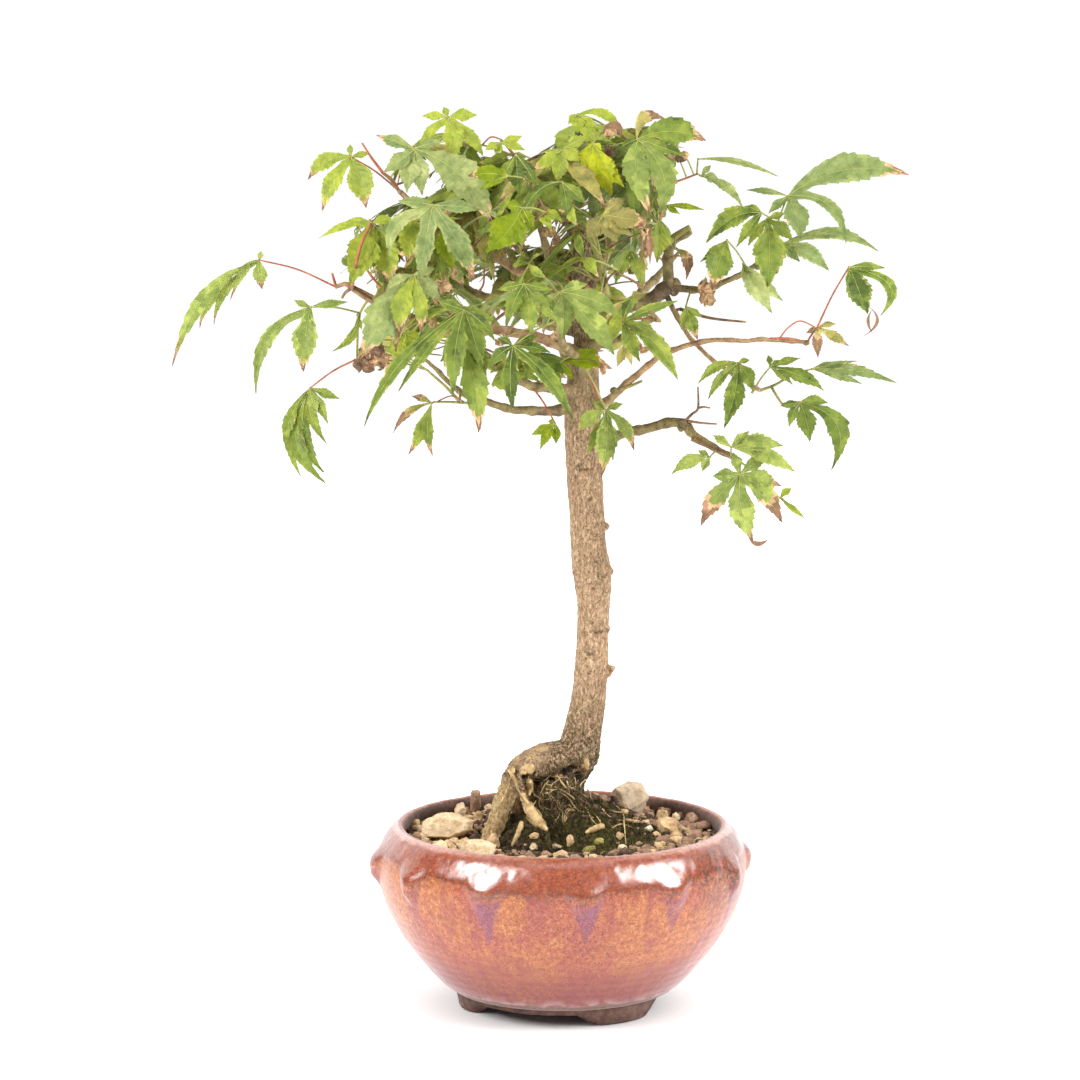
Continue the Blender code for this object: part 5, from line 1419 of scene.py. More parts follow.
# Leaves that show: hub in the picture, depth, tilt of the face towards the front, sideways tilt,
# colour, lobes, and where the stalk starts (picture place, depth, colour) if that shows.
SHOWN = [
    ("a", 259, 260, -4, 60, 0.1, "spring", [L(172, 367, 14, (203, 301), 0.06), L(230, 301, 8, (243, 272), 0.12), L(214, 325, 8, (226, 290), 0.10), L(200, 328, 7, (214, 298), 0.14), L(262, 289, 14, None, 0.25), L(261, 251, 6)], (336, 287, -3, "red")),
    ("b", 311, 307, -10, 66, -0.1, "grass", [L(256, 395, 13, (268, 340)), L(303, 372, 24, None, 0.10), L(348, 302, 9), L(294, 300, 7)], (360, 313, -8, "green")),
    ("c", 310, 388, -12, 70, 0.2, "moss", [L(328, 485, 16, (296, 440)), L(326, 474, 11, (306, 440)), L(317, 456, 11, (303, 424)), L(327, 444, 11, (311, 416)), L(328, 424, 10), L(286, 450, 11, (290, 420)), L(302, 478, 11, (291, 436)), L(340, 399, 9)], (357, 359, -9, "red")),
    ("c_front", 310, 389, "c", 70, 0.0, "spring", [L(315, 420, 11), L(324, 415, 8)], None),
    ("c_small", 357, 315, -9, 70, 0.3, "mid", [L(331, 352, 8, (352, 336)), L(362, 330, 6)], (360, 313, -8, "green")),
    ("u1", 351, 157, -8, 62, 0.0, "mid", [L(322, 212, 17, (333, 182), 0.12), L(308, 182, 17, (326, 162), 0.14, 0.1), L(366, 208, 25, None, 0.10), L(350, 144, 6), L(370, 153, 7)], (399, 191, -8, "red")),
    ("u2", 415, 149, -14, 58, 0.0, "grey", [L(376, 135, 14, None, 0.15), L(383, 173, 16), L(407, 193, 20), L(422, 195, 20), L(493, 228, 35, (462, 180), 0.05, 0.05), L(444, 142, 10)], None),
    ("u3", 448, 117, -6, 58, 0.0, "fresh", [L(422, 116, 9), L(443, 107, 7), L(477, 115, 13), L(417, 148, 9), L(457, 158, 20), L(483, 156, 13, (470, 138))], (479, 147, -4, "red")),
    ("u4", 433, 205, -36, 62, 0.0, "shade", [L(398, 201, 12), L(391, 258, 14, (397, 226)), L(419, 281, 17, (425, 246)), L(474, 280, 22, (458, 244), 0.16), L(481, 210, 13)], None),
    ("u5", 372, 223, -15, 58, -0.1, "fresh", [L(318, 239, 9, (345, 227)), L(345, 222, 8), L(349, 286, 30, None), L(360, 272, 11), L(394, 220, 11)], (352, 288, -10, "red")),
    ("u6", 413, 275, -40, 58, 0.1, "grey", [L(359, 366, 32, (385, 318), 0.08, 0.12), L(396, 352, 20, (400, 312), 0.12), L(440, 302, 16), L(386, 290, 14), L(436, 268, 10)], None),
    ("u6b", 405, 331, -38, 62, 0.0, "fresh", [L(400, 369, 22, None, 0.25), L(418, 361, 17, None, 0.2), L(421, 340, 10)], None),
    ("d", 464, 310, -50, 60, 0.0, "dark", [L(364, 427, 12, (402, 366)), L(453, 397, 21), L(397, 394, 10, (428, 352)), L(495, 341, 14), L(438, 300, 12), L(482, 370, 20)], None),
    ("e", 464, 341, -54, 64, 0.0, "moss", [L(479, 433, 24, (475, 386), 0.12), L(440, 362, 12), L(497, 372, 13)], None),
    ("f", 432, 403, -27, 60, 0.0, "moss", [L(408, 455, 13, (422, 430), 0.16), L(433, 456, 11, (427, 432), 0.26)], (434, 402, -27, "red")),
    ("f_old", 432, 403, "f", 60, 0.0, "drab", [L(393, 434, 8, (408, 414), 0.4), L(411, 396, 8, None, 0.4)], None),
    ("g", 513, 346, -58, 62, 0.0, "dark", [L(513, 410, 16), L(573, 420, 17, (546, 378)), L(538, 336, 10), L(488, 367, 12), L(551, 353, 12), L(497, 338, 8)], None),
    ("h", 524, 284, -62, 58, 0.0, "moss", [L(531, 336, 19), L(506, 328, 14), L(556, 322, 15), L(497, 290, 10), L(553, 290, 10)], None),
    ("i", 560, 292, -56, 56, 0.0, "grass", [L(622, 317, 20), L(614, 355, 24, (592, 326)), L(562, 340, 20), L(588, 284, 11), L(536, 312, 12)], None),
    ("j", 555, 423, -20, 60, 0.0, "lime", [L(531, 435, 9), L(540, 450, 10), L(556, 444, 9), L(548, 421, 5)], None),
    ("k", 606, 410, -18, 64, 0.0, "grass", [L(601, 478, 21, (607, 440), 0.12), L(634, 451, 12, (625, 428), 0.24), L(613, 461, 10, (611, 438)), L(592, 401, 8), L(623, 404, 8)], None),
    ("k_left", 605, 411, "k", 64, 0.0, "spring", [L(576, 434, 15, (590, 419), 0.12)], None),
    ("k_under", 604, 415, -16, 60, 0.1, "moss", [L(586, 455, 11)], None),
    ("k2", 559, 363, -30, 52, 0.1, "lime", [L(612, 369, 20, (586, 362), 0.3), L(604, 351, 9, (582, 354), 0.1), L(574, 380, 8)], None),
    ("l", 623, 322, -50, 58, 0.0, "moss", [L(678, 380, 17, (656, 345)), L(678, 301, 11), L(662, 341, 14), L(636, 294, 11), L(640, 362, 15)], None),
    ("l_fold", 638, 334, "l", 58, 0.0, "pale", [L(678, 380, 7, (656, 353))], None),
    ("m", 625, 343, -34, 60, 0.0, "olive", [L(617, 367, 9), L(632, 366, 8), L(608, 352, 7)], None),
    ("m2", 686, 306, -14, 60, 0.0, "mid", [L(698, 340, 13, None, 0.25), L(681, 330, 8), L(703, 318, 7)], None),
    ("n", 738, 363, -12, 62, 0.0, "moss", [L(698, 384, 10, (716, 368)), L(724, 428, 19), L(753, 391, 15), L(750, 360, 6), L(708, 400, 9, (720, 380))], None),
    ("o", 770, 367, -8, 50, 0.0, "moss", [L(768, 355, 6), L(801, 358, 9), L(824, 391, 17, (800, 377)), L(793, 385, 9), L(782, 360, 5)], (752, 393, -9, "green")),
    ("p", 812, 369, -8, 46, 0.0, "sage", [L(897, 383, 14, (852, 372)), L(862, 384, 10), L(858, 361, 8), L(836, 362, 6)], (785, 379, -8, "green")),
    ("q", 800, 402, -14, 60, 0.0, "dark", [L(780, 406, 8), L(810, 442, 18), L(831, 471, 20, (838, 428)), L(828, 403, 11), L(789, 427, 10)], (782, 404, -12, "red")),
    ("r", 818, 327, -9, 60, 0.0, "olive", [L(818, 358, 10, None, 0.55), L(849, 346, 10, None, 0.12), L(836, 324, 6), L(806, 333, 6, None, 0.6)], (807, 342, -10, "red")),
    ("s", 731, 447, -16, 54, 0.0, "spring", [L(713, 435, 9), L(749, 431, 11), L(783, 446, 18), L(795, 472, 16, (768, 458)), L(765, 438, 10)], None),
    ("t", 740, 474, -20, 62, 0.0, "grass", [L(712, 476, 14), L(701, 526, 19, (716, 500), 0.32), L(753, 541, 24, (741, 510), 0.06), L(782, 523, 20, (765, 496), 0.31), L(781, 486, 18, None, 0.24), L(768, 456, 13), L(733, 452, 10)], None),
    ("t_curl", 748, 535, "t", 60, 0.0, "brown", [L(770, 538, 5, (757, 544), 1.0)], None),
    ("u", 710, 457, -14, 54, 0.0, "spring", [L(671, 475, 15, (690, 462)), L(702, 472, 9), L(698, 450, 7)], None),
    ("v", 780, 498, -12, 60, 0.0, "fresh", [L(807, 520, 6), L(792, 488, 8)], None),
    ("w", 788, 196, -6, 54, 0.0, "sage", [L(909, 175, 33, (845, 171), 0.05), L(846, 244, 13, (829, 207)), L(800, 241, 24), L(746, 190, 7), L(768, 214, 9)], None),
    ("x", 762, 213, -14, 56, 0.0, "moss", [L(706, 243, 22, (733, 219)), L(736, 248, 12), L(745, 206, 8)], None),
    ("x2", 727, 240, -13, 62, 0.0, "moss", [L(712, 290, 25, None, 0.2), L(700, 262, 10)], None),
    ("y", 767, 219, -10, 60, 0.0, "moss", [L(767, 289, 30), L(793, 241, 14), L(748, 246, 11), L(785, 213, 8)], None),
    ("z", 783, 243, -8, 46, 0.0, "shade", [L(878, 254, 13, (835, 236), 0.0, 0.05), L(859, 236, 9), L(829, 271, 19), L(800, 262, 11)], None),
    ("aa", 849, 267, -10, 60, 0.0, "dark", [L(868, 314, 24), L(880, 316, 12, (889, 286)), L(885, 268, 10), L(855, 292, 10)], (816, 330, -10, "red")),
    ("aa_t1", 868, 306, "aa", 60, 0.0, "brown", [L(862, 337, 3, (877, 322), 1.0)], None),
    ("aa_t2", 872, 310, "aa", 60, 0.0, "brown", [L(873, 334, 3, (868, 322), 1.0)], None),
    ("ab", 743, 264, -12, 54, 0.0, "pale", [L(783, 301, 15), L(772, 313, 22), L(752, 288, 11)], None),
    ("sliver", 698, 159, -6, 40, 0.0, "grey", [L(779, 177, 8, (738, 165))], None),
    ("ac", 638, 139, -22, 60, 0.0, "moss", [L(706, 141, 28, (672, 132), 0.12), L(620, 149, 8, None), L(686, 156, 12, (664, 149)), L(640, 160, 12)], None),
    ("ac_up", 637, 139, "ac", 60, 0.0, "olive", [L(667, 120, 13, (645, 119), 0.31)], None),
    ("ac_down", 638, 140, "ac", 60, 0.0, "grass", [L(651, 217, 25, (636, 172), 0.05), L(659, 215, 24, (663, 176))], None),
    ("ac2", 701, 176, -10, 54, 0.0, "grey", [L(720, 181, 11), L(743, 208, 11, (726, 188)), L(711, 165, 6)], None),
    ("ac4", 665, 205, -12, 60, 0.0, "lime", [L(705, 210, 6), L(680, 214, 6)], None),
    ("ad_olive", 603, 215, -34, 58, 0.0, "drab", [L(647, 222, 20, None, 0.22), L(626, 198, 12), L(616, 243, 19), L(586, 240, 18), L(632, 236, 16)], None),
    ("strip", 648, 222, -20, 66, 0.0, "brown", [L(650, 265, 7, None, 1.0)], None),
    ("lobe1", 660, 219, -16, 64, 0.0, "mid", [L(657, 263, 16), L(672, 246, 9)], None),
    ("lobe2", 675, 249, -12, 60, 0.0, "olive", [L(686, 280, 11, (687, 260), 0.5)], None),
    ("tips", 630, 250, -24, 62, 0.0, "mid", [L(638, 271, 10, None, 0.25), L(643, 288, 12), L(615, 284, 15)], None),
    ("ad", 578, 114, -4, 56, 0.0, "fresh", [L(568, 124, 9), L(578, 133, 13), L(592, 144, 15), L(599, 132, 10), L(622, 133, 11, (604, 116), 0.2)], None),
    ("ad2", 604, 126, -8, 60, 0.0, "brown", [L(621, 140, 10, (616, 127), 1.0, 0.15), L(609, 140, 7, None, 1.0)], None),
    ("yellow", 593, 143, -18, 64, 0.0, "yellow", [L(612, 196, 24), L(583, 170, 15), L(625, 188, 15), L(602, 150, 8)], None),
    ("ae", 562, 150, -20, 58, 0.0, "fresh", [L(542, 167, 13), L(529, 171, 11, None, 0.3), L(557, 183, 16), L(579, 162, 13), L(588, 136, 11)], None),
    ("af", 501, 143, -10, 56, 0.0, "fresh", [L(522, 136, 11), L(525, 150, 10), L(485, 150, 11), L(496, 155, 9)], None),
    ("ag", 522, 208, -48, 54, 0.0, "lime", [L(484, 254, 32, (508, 232)), L(505, 206, 12), L(532, 232, 12)], None),
    ("ah", 537, 212, -36, 54, 0.0, "fresh", [L(563, 222, 15), L(550, 208, 8), L(552, 232, 10)], None),
    ("ai", 516, 155, -30, 62, 0.0, "dark", [L(519, 195, 18), L(500, 186, 12), L(537, 188, 13)], None),
    ("aj", 509, 176, -38, 50, 0.0, "lime", [L(468, 176, 17, None, 0.15), L(480, 190, 10), L(496, 168, 8)], None),
    ("ak", 562, 182, -32, 60, 0.0, "dark", [L(516, 239, 11, (533, 198)), L(586, 204, 14), L(566, 216, 14)], None),
    ("u5b", 375, 227, -14, 58, 0.1, "fresh", [L(391, 288, 24, (386, 256), 0.2), L(376, 266, 12), L(405, 262, 13, None, 0.3)], None),
    ("u4b", 412, 212, -33, 60, 0.0, "fresh", [L(407, 264, 20, None, 0.1), L(426, 262, 15)], None),
    ("u4c", 447, 220, -33, 60, 0.0, "lime", [L(452, 270, 24), L(468, 252, 13)], None),
    ("u6c", 415, 276, -43, 58, 0.1, "leaf", [L(399, 338, 19, (402, 306), 0.2), L(421, 334, 14, (420, 306), 0.3)], None),
]


COVER = {}  # picture cells that a placed leaf covers, with its depth


def cover(points):
    for p in points:
        px, py = seen_at(p)
        key = (int(px // 5), int(py // 5))
        COVER[key] = max(COVER.get(key, -1e9), p[1])


def hides_a_placed_leaf(p):
    px, py = seen_at(p)
    return p[1] < COVER.get((int(px // 5), int(py // 5)), -1e9) + 2.0


def make_shown_leaves():
    rng = np.random.RandomState(31)
    tilt = np.random.RandomState(8)
    planes = {}
    for name, hx, hy, y, face, nx, kind, lobes, start in SHOWN:
        if isinstance(y, str):  # a curled tip that hangs on another leaf
            hub, normal = planes[y]
            hub = on_plane(hx, hy, hub, normal) + np.array([0, -0.3, 0])
        else:
            hub = at(hx, hy, y)
            f = radians(face + tilt.uniform(-9, 9))
            normal = unit(np.array([nx + tilt.uniform(-0.16, 0.16), -sin(f), cos(f)]))
        planes[name] = hub, normal
        made = []
        for tx, ty, w, via, burn, curl in lobes:
            tip = on_plane(tx, ty, hub, normal)
            v = on_plane(*via, hub, normal) if via else None
            flat = hypot(tx - hx, ty - hy)
            width = (w or 0.26 * flat) / 3.21 * 0.98
            made.append((tip, v, width, burn, curl))
        for tip, v, width, _, _ in made:
            mid = v if v is not None else (hub + tip) / 2
            across = unit(np.cross(normal, tip - hub)) * width * 0.4
            for t in np.linspace(0, 1, 12):
                p = (hub + (mid - hub) * 2 * t) if t < 0.5 else (mid + (tip - mid) * (2 * t - 1))
                cover([p, p + across * (1 - abs(2 * t - 1)), p - across * (1 - abs(2 * t - 1))])
        make_leaf(hub, normal, made, kind, rng)
        if isinstance(y, str):
            continue
        if start:
            sx, sy, sd, colour = start
            origin = at(sx, sy, sd)
            twig_to(origin, rng, "twig_green", 0.5)
        else:
            q, d = nearest(hub)
            gap = np.linalg.norm(q[:3] - hub)
            colour = "green" if rng.uniform() < 0.85 else "red"
            if gap > 18:
                origin = q[:3] + (hub - q[:3]) * (1 - 11.0 / gap) + np.array([0, 1.5, 1.0])
                twig_to(origin, rng, "twig_brown", 0.5)
            else:
                origin = q[:3]
        mid = (origin + hub) / 2 + np.array([0, 0, 0.05 * np.linalg.norm(hub - origin)])
        stalk([origin, mid, hub], 0.34, 0.26, "stalk_" + colour, 6, 12)
        lump, lf = ball(hub, np.array([0.42, 0.42, 0.42]), 1)
        heap_of(TWIGS, "stalk_" + colour).add(lump, lf)


# Dead, rolled-up bits of leaf: picture place, depth, width and height in pixels, colour
CRUMPLES = [
    (374, 349, -34, 14, 16, "umber"), (364, 364, -33, 16, 12, "umber"), (383, 362, -33, 16, 15, "brown"), (371, 356, -31, 12, 12, "brown"),
    (403, 341, -38, 9, 8, "umber"), (429, 318, -40, 8, 26, "tan"), (441, 287, -40, 17, 9, "tan"), (437, 299, -39, 8, 14, "brown"),
    (375, 250, -18, 8, 8, "tan"), (386, 264, -20, 6, 16, "tan"), (413, 252, -34, 12, 6, "tan"), (556, 337, -44, 10, 8, "brown"),
    (549, 231, -30, 14, 9, "tan"), (556, 240, -30, 7, 9, "brown"), (611, 133, -14, 11, 7, "tan"), (610, 152, -16, 11, 10, "umber"),
    (677, 159, -12, 13, 9, "umber"), (684, 156, -13, 8, 7, "tan"), (638, 224, -33, 15, 10, "brown"), (645, 242, -24, 7, 26, "tan"),
    (644, 260, -22, 6, 16, "straw"), (631, 271, -22, 10, 6, "umber"), (641, 285, -21, 5, 8, "brown"), (687, 262, -12, 9, 12, "brown"),
    (708, 291, -10, 14, 20, "tan"), (705, 298, -11, 9, 10, "brown"), (642, 349, -30, 10, 7, "brown"), (500, 342, -55, 6, 6, "brown"),
    (603, 369, -30, 6, 9, "brown"), (455, 272, -30, 6, 12, "tan"), (520, 247, -28, 8, 8, "umber"), (590, 168, -16, 7, 7, "brown"),
]


def make_crumples():
    rng = np.random.RandomState(19)
    for px, py, y, w, h, kind in CRUMPLES:
        centre = at(px, py, y)
        w, h = w / 3.21, h / 3.21
        for part in range(2):
            rows, cols = 16, 12
            u, v = np.meshgrid(np.linspace(-1, 1, cols), np.linspace(-1, 1, rows))
            roll = u * rng.uniform(1.3, 2.4)
            shrink = 1 - 0.45 * v**2
            flat = np.stack([np.sin(roll) * w * 0.5 * shrink, (1 - np.cos(roll)) * w * 0.35, v * h * 0.52], -1).reshape(-1, 3)
            jolt = np.stack([fractal(flat * 0.75 + k * 11 + rng.uniform(0, 40), 2) for k in range(3)], 1)
            flat = flat + jolt * 0.16 * (w + h) / 2
            turn, lean = rng.uniform(-1.1, 1.1), rng.uniform(-0.5, 0.5)
            spin = np.array(Matrix.Rotation(turn, 3, "Z") @ Matrix.Rotation(lean, 3, "Y"))
            pts = centre + flat @ spin.T + rng.normal(size=3) * 0.12 * np.array([w, w, h])
            faces = grid_faces(rows, cols)
            tone = np.digitize(fractal(pts[faces].mean(1) * 0.7 + 5, 2), [-0.35, 0.3]) - 1
            for by in (-1, 0, 1):
                if (tone == by).any():
                    heap_of(LEAF, step_of(kind, by)).add(pts, faces[tone == by])
        q, d = nearest(centre)
        top = centre + np.array([0, 0, h * 0.4])
        stalk([q[:3], (q[:3] + top) / 2 + np.array([0, 0, 0.05 * d]), top], 0.3, 0.2, "stalk_green" if rng.uniform() < 0.5 else "twig_brown", 5, 8)


# Twigs that show: picture places with depths, start and end radius, colour
SHOWN_TWIGS = [
    ([(459, 401, -14), (446, 387, -20), (427, 370, -26)], 0.55, 0.35, "twig_green"),
    ([(484, 404, -10), (466, 403, -16), (449, 402, -22), (434, 402, -27)], 0.5, 0.3, "twig_green"),
    ([(466, 403, -16), (452, 396, -20), (436, 402, -26)], 0.22, 0.2, "stalk_red"),
    ([(399, 191, -8), (420, 212, -8), (440, 235, -9)], 0.7, 0.9, "twig_brown"),
    ([(383, 173, -8), (371, 157, -8), (362, 143, -8)], 0.5, 0.3, "stalk_red"),
    ([(399, 191, -8), (392, 180, -8), (383, 173, -8)], 0.55, 0.5, "stalk_red"),
    ([(352, 288, -9), (345, 284, -6), (336, 287, -3)], 0.9, 0.6, "twig_brown"),
    ([(352, 288, -9), (365, 297, -10), (380, 306, -12)], 0.9, 0.8, "twig_brown"),
    ([(352, 288, -11), (355, 270, -25), (361, 245, -26), (371, 224, -17)], 0.52, 0.42, "stalk_red"),
    ([(332, 273, -3), (334, 280, -3), (336, 287, -3)], 0.35, 0.5, "stalk_red"),
    ([(342, 298, -5), (345, 293, -6), (350, 289, -9)], 0.4, 0.6, "twig_brown"),
    ([(360, 259, -13), (372, 277, -13), (388, 295, -13)], 0.35, 0.4, "stalk_red"),
    ([(500, 139, -4), (491, 137, -4), (482, 145, -4)], 0.25, 0.25, "stalk_red"),
    ([(680, 309, 0), (698, 315, -2), (716, 319, -3), (746, 322, -4)], 0.6, 0.3, "twig_brown"),
    ([(614, 391, -1), (628, 387, -3), (642, 381, -5)], 0.6, 0.4, "twig_green"),
    ([(684, 422, -3), (692, 414, -5), (698, 408, -6), (698, 387, -7)], 0.5, 0.25, "twig_brown"),
    ([(698, 408, -6), (704, 407, -7), (710, 408, -7)], 0.4, 0.25, "twig_brown"),
    ([(688, 421, -4), (702, 423, -6), (717, 424, -7)], 0.45, 0.25, "twig_brown"),
    ([(692, 439, -6), (712, 448, -9), (731, 456, -12)], 0.75, 0.55, "twig_brown"),
    ([(661, 249, 0), (674, 237, -2), (690, 227, -3)], 1.3, 0.85, "twig_green"),
    ([(779, 339, -10), (788, 328, -10), (800, 321, -10), (815, 327, -10)], 0.25, 0.22, "stalk_red"),
    ([(697, 174, -10), (684, 179, -9), (672, 183, -8)], 0.3, 0.35, "stalk_red"),
    ([(770, 339, -10), (790, 339, -10), (807, 343, -10)], 0.5, 0.45, "stalk_red"),
    ([(607, 298, -15), (602, 270, -19), (596, 250, -22), (590, 231, -24)], 1.25, 0.95, "twig_green"),
]


def make_shown_twigs():
    rng = np.random.RandomState(3)
    for places, r0, r1, colour in SHOWN_TWIGS:
        pts = [at(*p) for p in places]
        q, d = nearest(pts[0])
        q2, d2 = nearest(pts[-1])
        if d2 < d:
            pts, r0, r1 = pts[::-1], r1, r0
            q, d = q2, d2
        if d > 0.8:
            twig_to(pts[0], rng, colour if colour.startswith("twig") else "twig_brown", max(r0, 0.5))
        run, radius = stalk(pts, r0, r1, colour, 8, 18)
        remember(run, radius)


# ---------------------------------------------------------------- leaves that fill the crown
MASSES = {
    # name: middle, half sizes, number of sprays
    "foliage_top_left": ((-41, 6, 262), (17, 14, 15), 5), "foliage_upper_left": ((-56, 8, 238), (14, 14, 11), 3),
    "foliage_centre_left": ((-37, -14, 238), (19, 16, 16), 6), "foliage_lower_left": ((-44, -2, 207), (17, 15, 12), 3),
    "foliage_top_centre": ((-12, 4, 260), (17, 18, 15), 7), "foliage_top_right": ((26, 2, 262), (20, 16, 14), 7),
    "foliage_front": ((0, -30, 236), (23, 20, 19), 7), "foliage_front_low": ((-16, -22, 208), (19, 16, 13), 5),
    "foliage_front_right": ((20, -24, 218), (16, 16, 15), 4), "foliage_right_upper": ((57, 0, 247), (17, 16, 16), 4),
    "foliage_back_left": ((-42, 44, 228), (25, 22, 19), 9), "foliage_back": ((-2, 60, 222), (23, 21, 17), 10),
    "foliage_back_right": ((34, 48, 236), (20, 22, 17), 8), "foliage_back_top": ((2, 32, 256), (23, 20, 18), 10),
    "foliage_back_low": ((-30, 34, 204), (16, 16, 9), 4),
}
CROWN = [
    (340, 232), (372, 216), (394, 212), (396, 194), (382, 166), (398, 148), (428, 138), (440, 118), (460, 116), (474, 142),
    (500, 150), (514, 142), (524, 150), (531, 170), (546, 154), (564, 140), (572, 122), (590, 120), (610, 128), (640, 128),
    (692, 134), (698, 150), (672, 164), (670, 198), (658, 216), (662, 250), (642, 256), (632, 262), (656, 284), (642, 300),
    (660, 322), (644, 334), (622, 330), (630, 352), (614, 366), (600, 372), (598, 386), (576, 402), (560, 396), (545, 386),
    (526, 380), (510, 398), (495, 372), (482, 376), (479, 400), (464, 396), (456, 372), (440, 362), (424, 368), (408, 376),
    (380, 384), (362, 366), (358, 346), (370, 312), (386, 284), (366, 284), (340, 276), (336, 262), (350, 240),
]
# sky that shows through the crown: place and radius in the picture
GAPS = [
    (548, 236, 6), (561, 241, 4), (479, 292, 8), (492, 286, 4), (505, 326, 7), (514, 332, 5), (538, 326, 4), (402, 263, 4),
    (476, 346, 5), (454, 354, 5), (418, 188, 7), (432, 192, 6), (406, 190, 6), (630, 273, 7), (612, 282, 4), (577, 330, 4),
    (388, 337, 3), (398, 316, 4), (465, 250, 3), (626, 292, 4), (640, 310, 4), (492, 350, 4), (470, 330, 3), (560, 345, 3),
    (523, 352, 4), (645, 262, 5), (655, 275, 5), (440, 350, 3), (576, 196, 2),
]
# places where the trunk shows between the front leaves
WINDOWS = [(588, 352, 16), (585, 385, 16), (588, 322, 13), (582, 298, 12), (578, 278, 9), (600, 240, 7), (566, 262, 6)]


def inside(px, py, ring):
    hit = False
    for (x1, y1), (x2, y2) in zip(ring, ring[1:] + ring[:1]):
        if (y1 > py) != (y2 > py) and px < (x2 - x1) * (py - y1) / (y2 - y1) + x1:
            hit = not hit
    return hit


def in_crown(p, margin=0.0):
    px, py = seen_at(p)
    if not inside(px, py, CROWN) or p[1] + 1000 * CY > 82:
        return False
    if p[1] < 6 and any(hypot(px - gx, py - gy) < gr for gx, gy, gr in WINDOWS):
        return False
    return all(hypot(px - gx, py - gy) > gr + margin for gx, gy, gr in GAPS)


def make_filling():
    rng = np.random.RandomState(77)
    kinds = ["mid", "dark", "olive", "shade", "leaf", "drab", "moss"]
    ends = {n: ((b[-1][0], b[-1][1], b[-1][2] + 4), (7, 7, 5), 2) for n, b in BOUGHS.items() if "back" in n or "front" in n}
    for name, (centre, half, sprays) in {**MASSES, **ends}.items():
        centre, half = np.array(centre, float), np.array(half, float)
        for k in range(sprays):
            for attempt in range(30):
                d = rng.normal(size=3)
                d = d / np.linalg.norm(d) * rng.uniform(0.45, 0.86)
                end = centre + d * half
                if in_crown(end, 4):
                    break
            else:
                continue
            q, gap = nearest(end)
            if gap > 16:  # grow a leader into the mass first
                joint = q[:3] + (end - q[:3]) * 0.55 + rng.normal(size=3) * 1.5
                twig_to(joint, rng, "twig_brown", 0.7, 0.04)
            twig_to(end, rng, "twig_brown" if rng.uniform() < 0.6 else "twig_green", 0.48, 0.05)
            q, _ = nearest(end)
            out = unit(end - np.array([5.0, 8.0, centre[2] - 14]))
            spray_kind = kinds[rng.choice(len(kinds), p=[0.21, 0.14, 0.15, 0.12, 0.18, 0.08, 0.12])]
            pairs = 2 if rng.uniform() < 0.40 else 3
            turn = rng.uniform(0, 2 * pi)
            for j in range(pairs):
                kind = spray_kind if rng.uniform() < 0.65 else kinds[rng.choice(len(kinds))]
                # leaves a little behind the front of the crown take a darker tone: painted shade of the inner crown
                if 0 < end[1] < 25 and kind in ("mid", "leaf") and rng.uniform() < 0.6:
                    kind = "moss" if kind == "leaf" else "dark"
                for attempt in range(8):
                    a = turn + j * 2 * pi / pairs + rng.uniform(-0.5, 0.5) + attempt * 0.8
                    flat = np.array([cos(a), sin(a), 0.0])
                    way = unit(out * 0.8 + flat * 0.9 + np.array([0, 0, rng.uniform(-0.1, 0.4)]))
                    hub = end + way * rng.uniform(7, 14)
                    length = rng.uniform(19, 29)
                    axis = unit(way * np.array([1, 1, 0.2]) + np.array([0, 0, -rng.uniform(0.2, 0.9)]))
                    normal = unit(np.array([0, 0, 1.0]) * rng.uniform(0.5, 1.0) + way * np.array([1, 1, 0]) * rng.uniform(0.3, 1.0) + rng.normal(size=3) * 0.15)
                    lobes = palmate(hub, axis, normal, length, rng, 5 if rng.uniform() < 0.45 else 7, 0.3, 0.05)
                    if not in_crown(hub) or hides_a_placed_leaf(hub):
                        continue
                    kept = [
                        l for l in lobes
                        if all(in_crown(hub + (l[0] - hub) * q, 5 * sin(pi * q)) and not hides_a_placed_leaf(hub + (l[0] - hub) * q) for q in (0.2, 0.4, 0.6, 0.8, 1.0))
                    ]
                    if len(kept) >= 3:
                        lobes = kept
                        break
                else:
                    continue
                make_leaf(hub, normal, lobes, kind, rng, 21, 7, True)
                mid = (end + hub) / 2 + np.array([0, 0, 0.6])
                stalk([end, mid, hub], 0.36, 0.28, "stalk_green" if rng.uniform() < 0.9 else "stalk_red", 5, 8)


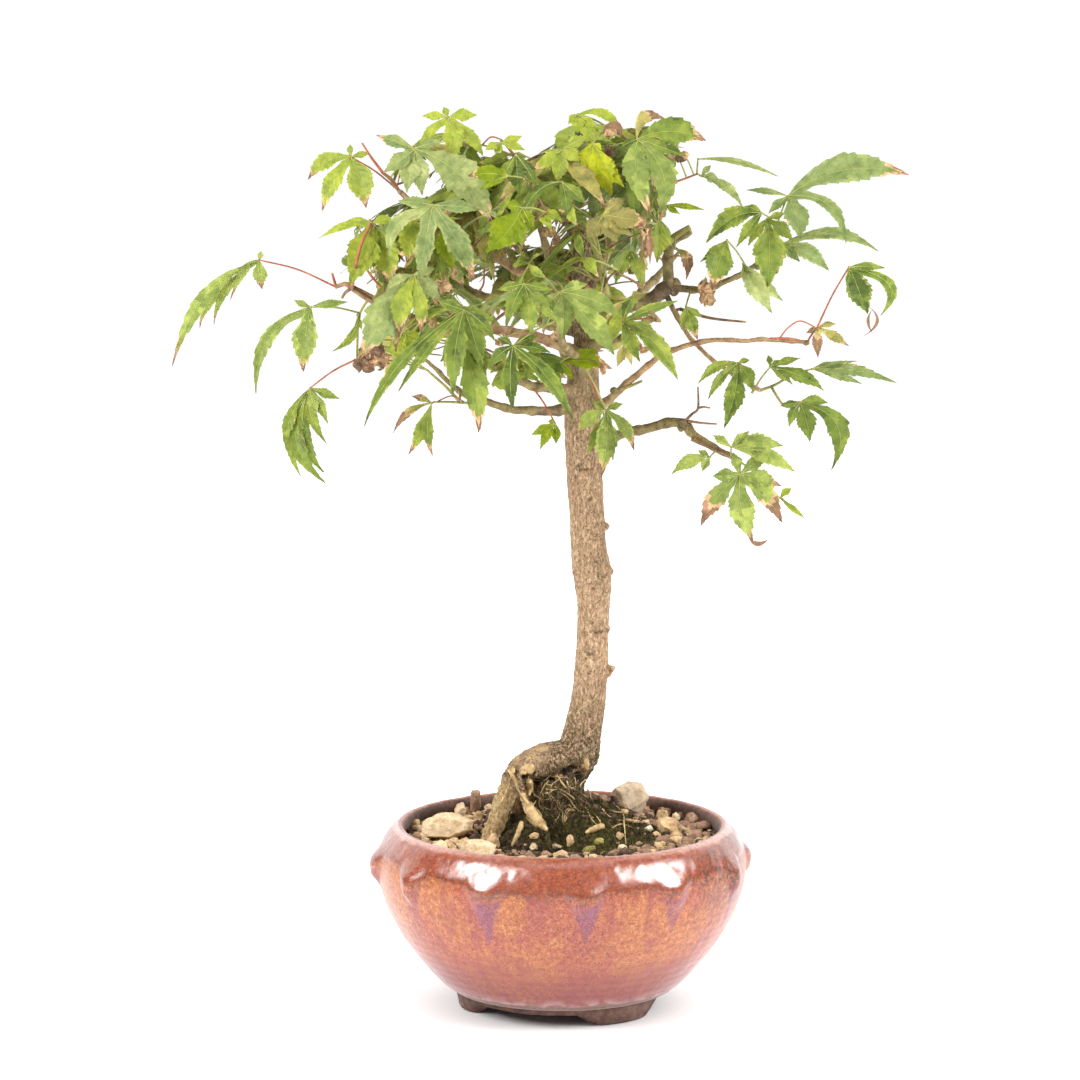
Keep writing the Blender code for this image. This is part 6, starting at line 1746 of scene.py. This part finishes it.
def make_bare_twigs():
    """Short dry twigs and leaf stalks that cross between the leaves."""
    rng = np.random.RandomState(52)
    made = 0
    for attempt in range(900):
        if made >= 58:
            break
        name = list(MASSES)[rng.randint(len(MASSES))]
        centre, half, _ = MASSES[name]
        d = rng.normal(size=3)
        a = np.array(centre) + d / np.linalg.norm(d) * rng.uniform(0.2, 0.85) * np.array(half)
        q, gap = nearest(a)
        if not 5 < gap < 15 or not in_crown(a, 2):
            continue
        tip = a + unit(a - q[:3] + rng.normal(size=3) * gap * 0.35) * rng.uniform(2, 7)
        if not in_crown(tip, 2) or (rng.uniform() < 0.6 and hides_a_placed_leaf(tip)):
            continue
        bend = (q[:3] + a) / 2 + rng.normal(size=3) * gap * 0.07
        colour = rng.choice(["twig_brown", "twig_green", "stalk_red"], p=[0.62, 0.14, 0.24])
        stalk([q[:3], bend, a, tip], 0.40, 0.20, colour, 6, 16)
        made += 1


def join_plants():
    for key, heap in LEAF.items():
        if not heap.count:
            continue
        pts, f = heap.arrays()
        dead = key in ("tan", "brown", "umber", "russet")
        mat = leaf_material("leaf_" + key, LEAF_COLOURS[key], 0.24 if dead else 0.19, 0.15 if dead else 0.28, 0.75 if dead else 0.52)
        limit = 190000
        for n, first in enumerate(range(0, len(f), limit)):
            name = "leaves_" + key + ("" if n == 0 else f"_{n + 1}")
            replaced = tuple(frame_masses()) if key == "mid" and n == 0 else ()
            piece(name, pts, f[first : first + limit], mat, True, replaced)
    colours = {
        "vein": ("leaf_veins", leaf_material("leaf_vein", LEAF_COLOURS["vein"], 0.1, 0.2), "leaf"),
        "twig_brown": ("twigs_brown", twig_material("twig_brown", (96, 66, 42), (158, 124, 82)), "bough"),
        "twig_green": ("twigs_green", twig_material("twig_green", (116, 114, 52), (170, 162, 90)), "bough"),
        "stalk_red": ("stalks_red", twig_material("stalk_red", (146, 70, 46), (190, 120, 84)), "leaf"),
        "stalk_green": ("stalks_green", twig_material("stalk_green", (124, 128, 56), (168, 166, 92)), "leaf"),
    }
    for key, heap in TWIGS.items():
        name, mat, slot = colours[key]
        pts, f = heap.arrays()
        piece(name, pts, f, mat, True)


def frame_masses():
    return [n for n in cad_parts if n.startswith("foliage_")]


# ================================================================ all of it
make_camera()
make_light()
make_pot()
make_trunk()
make_soil()
make_boughs()
make_shown_twigs()
make_shown_leaves()
make_crumples()
make_filling()
make_bare_twigs()
join_plants()
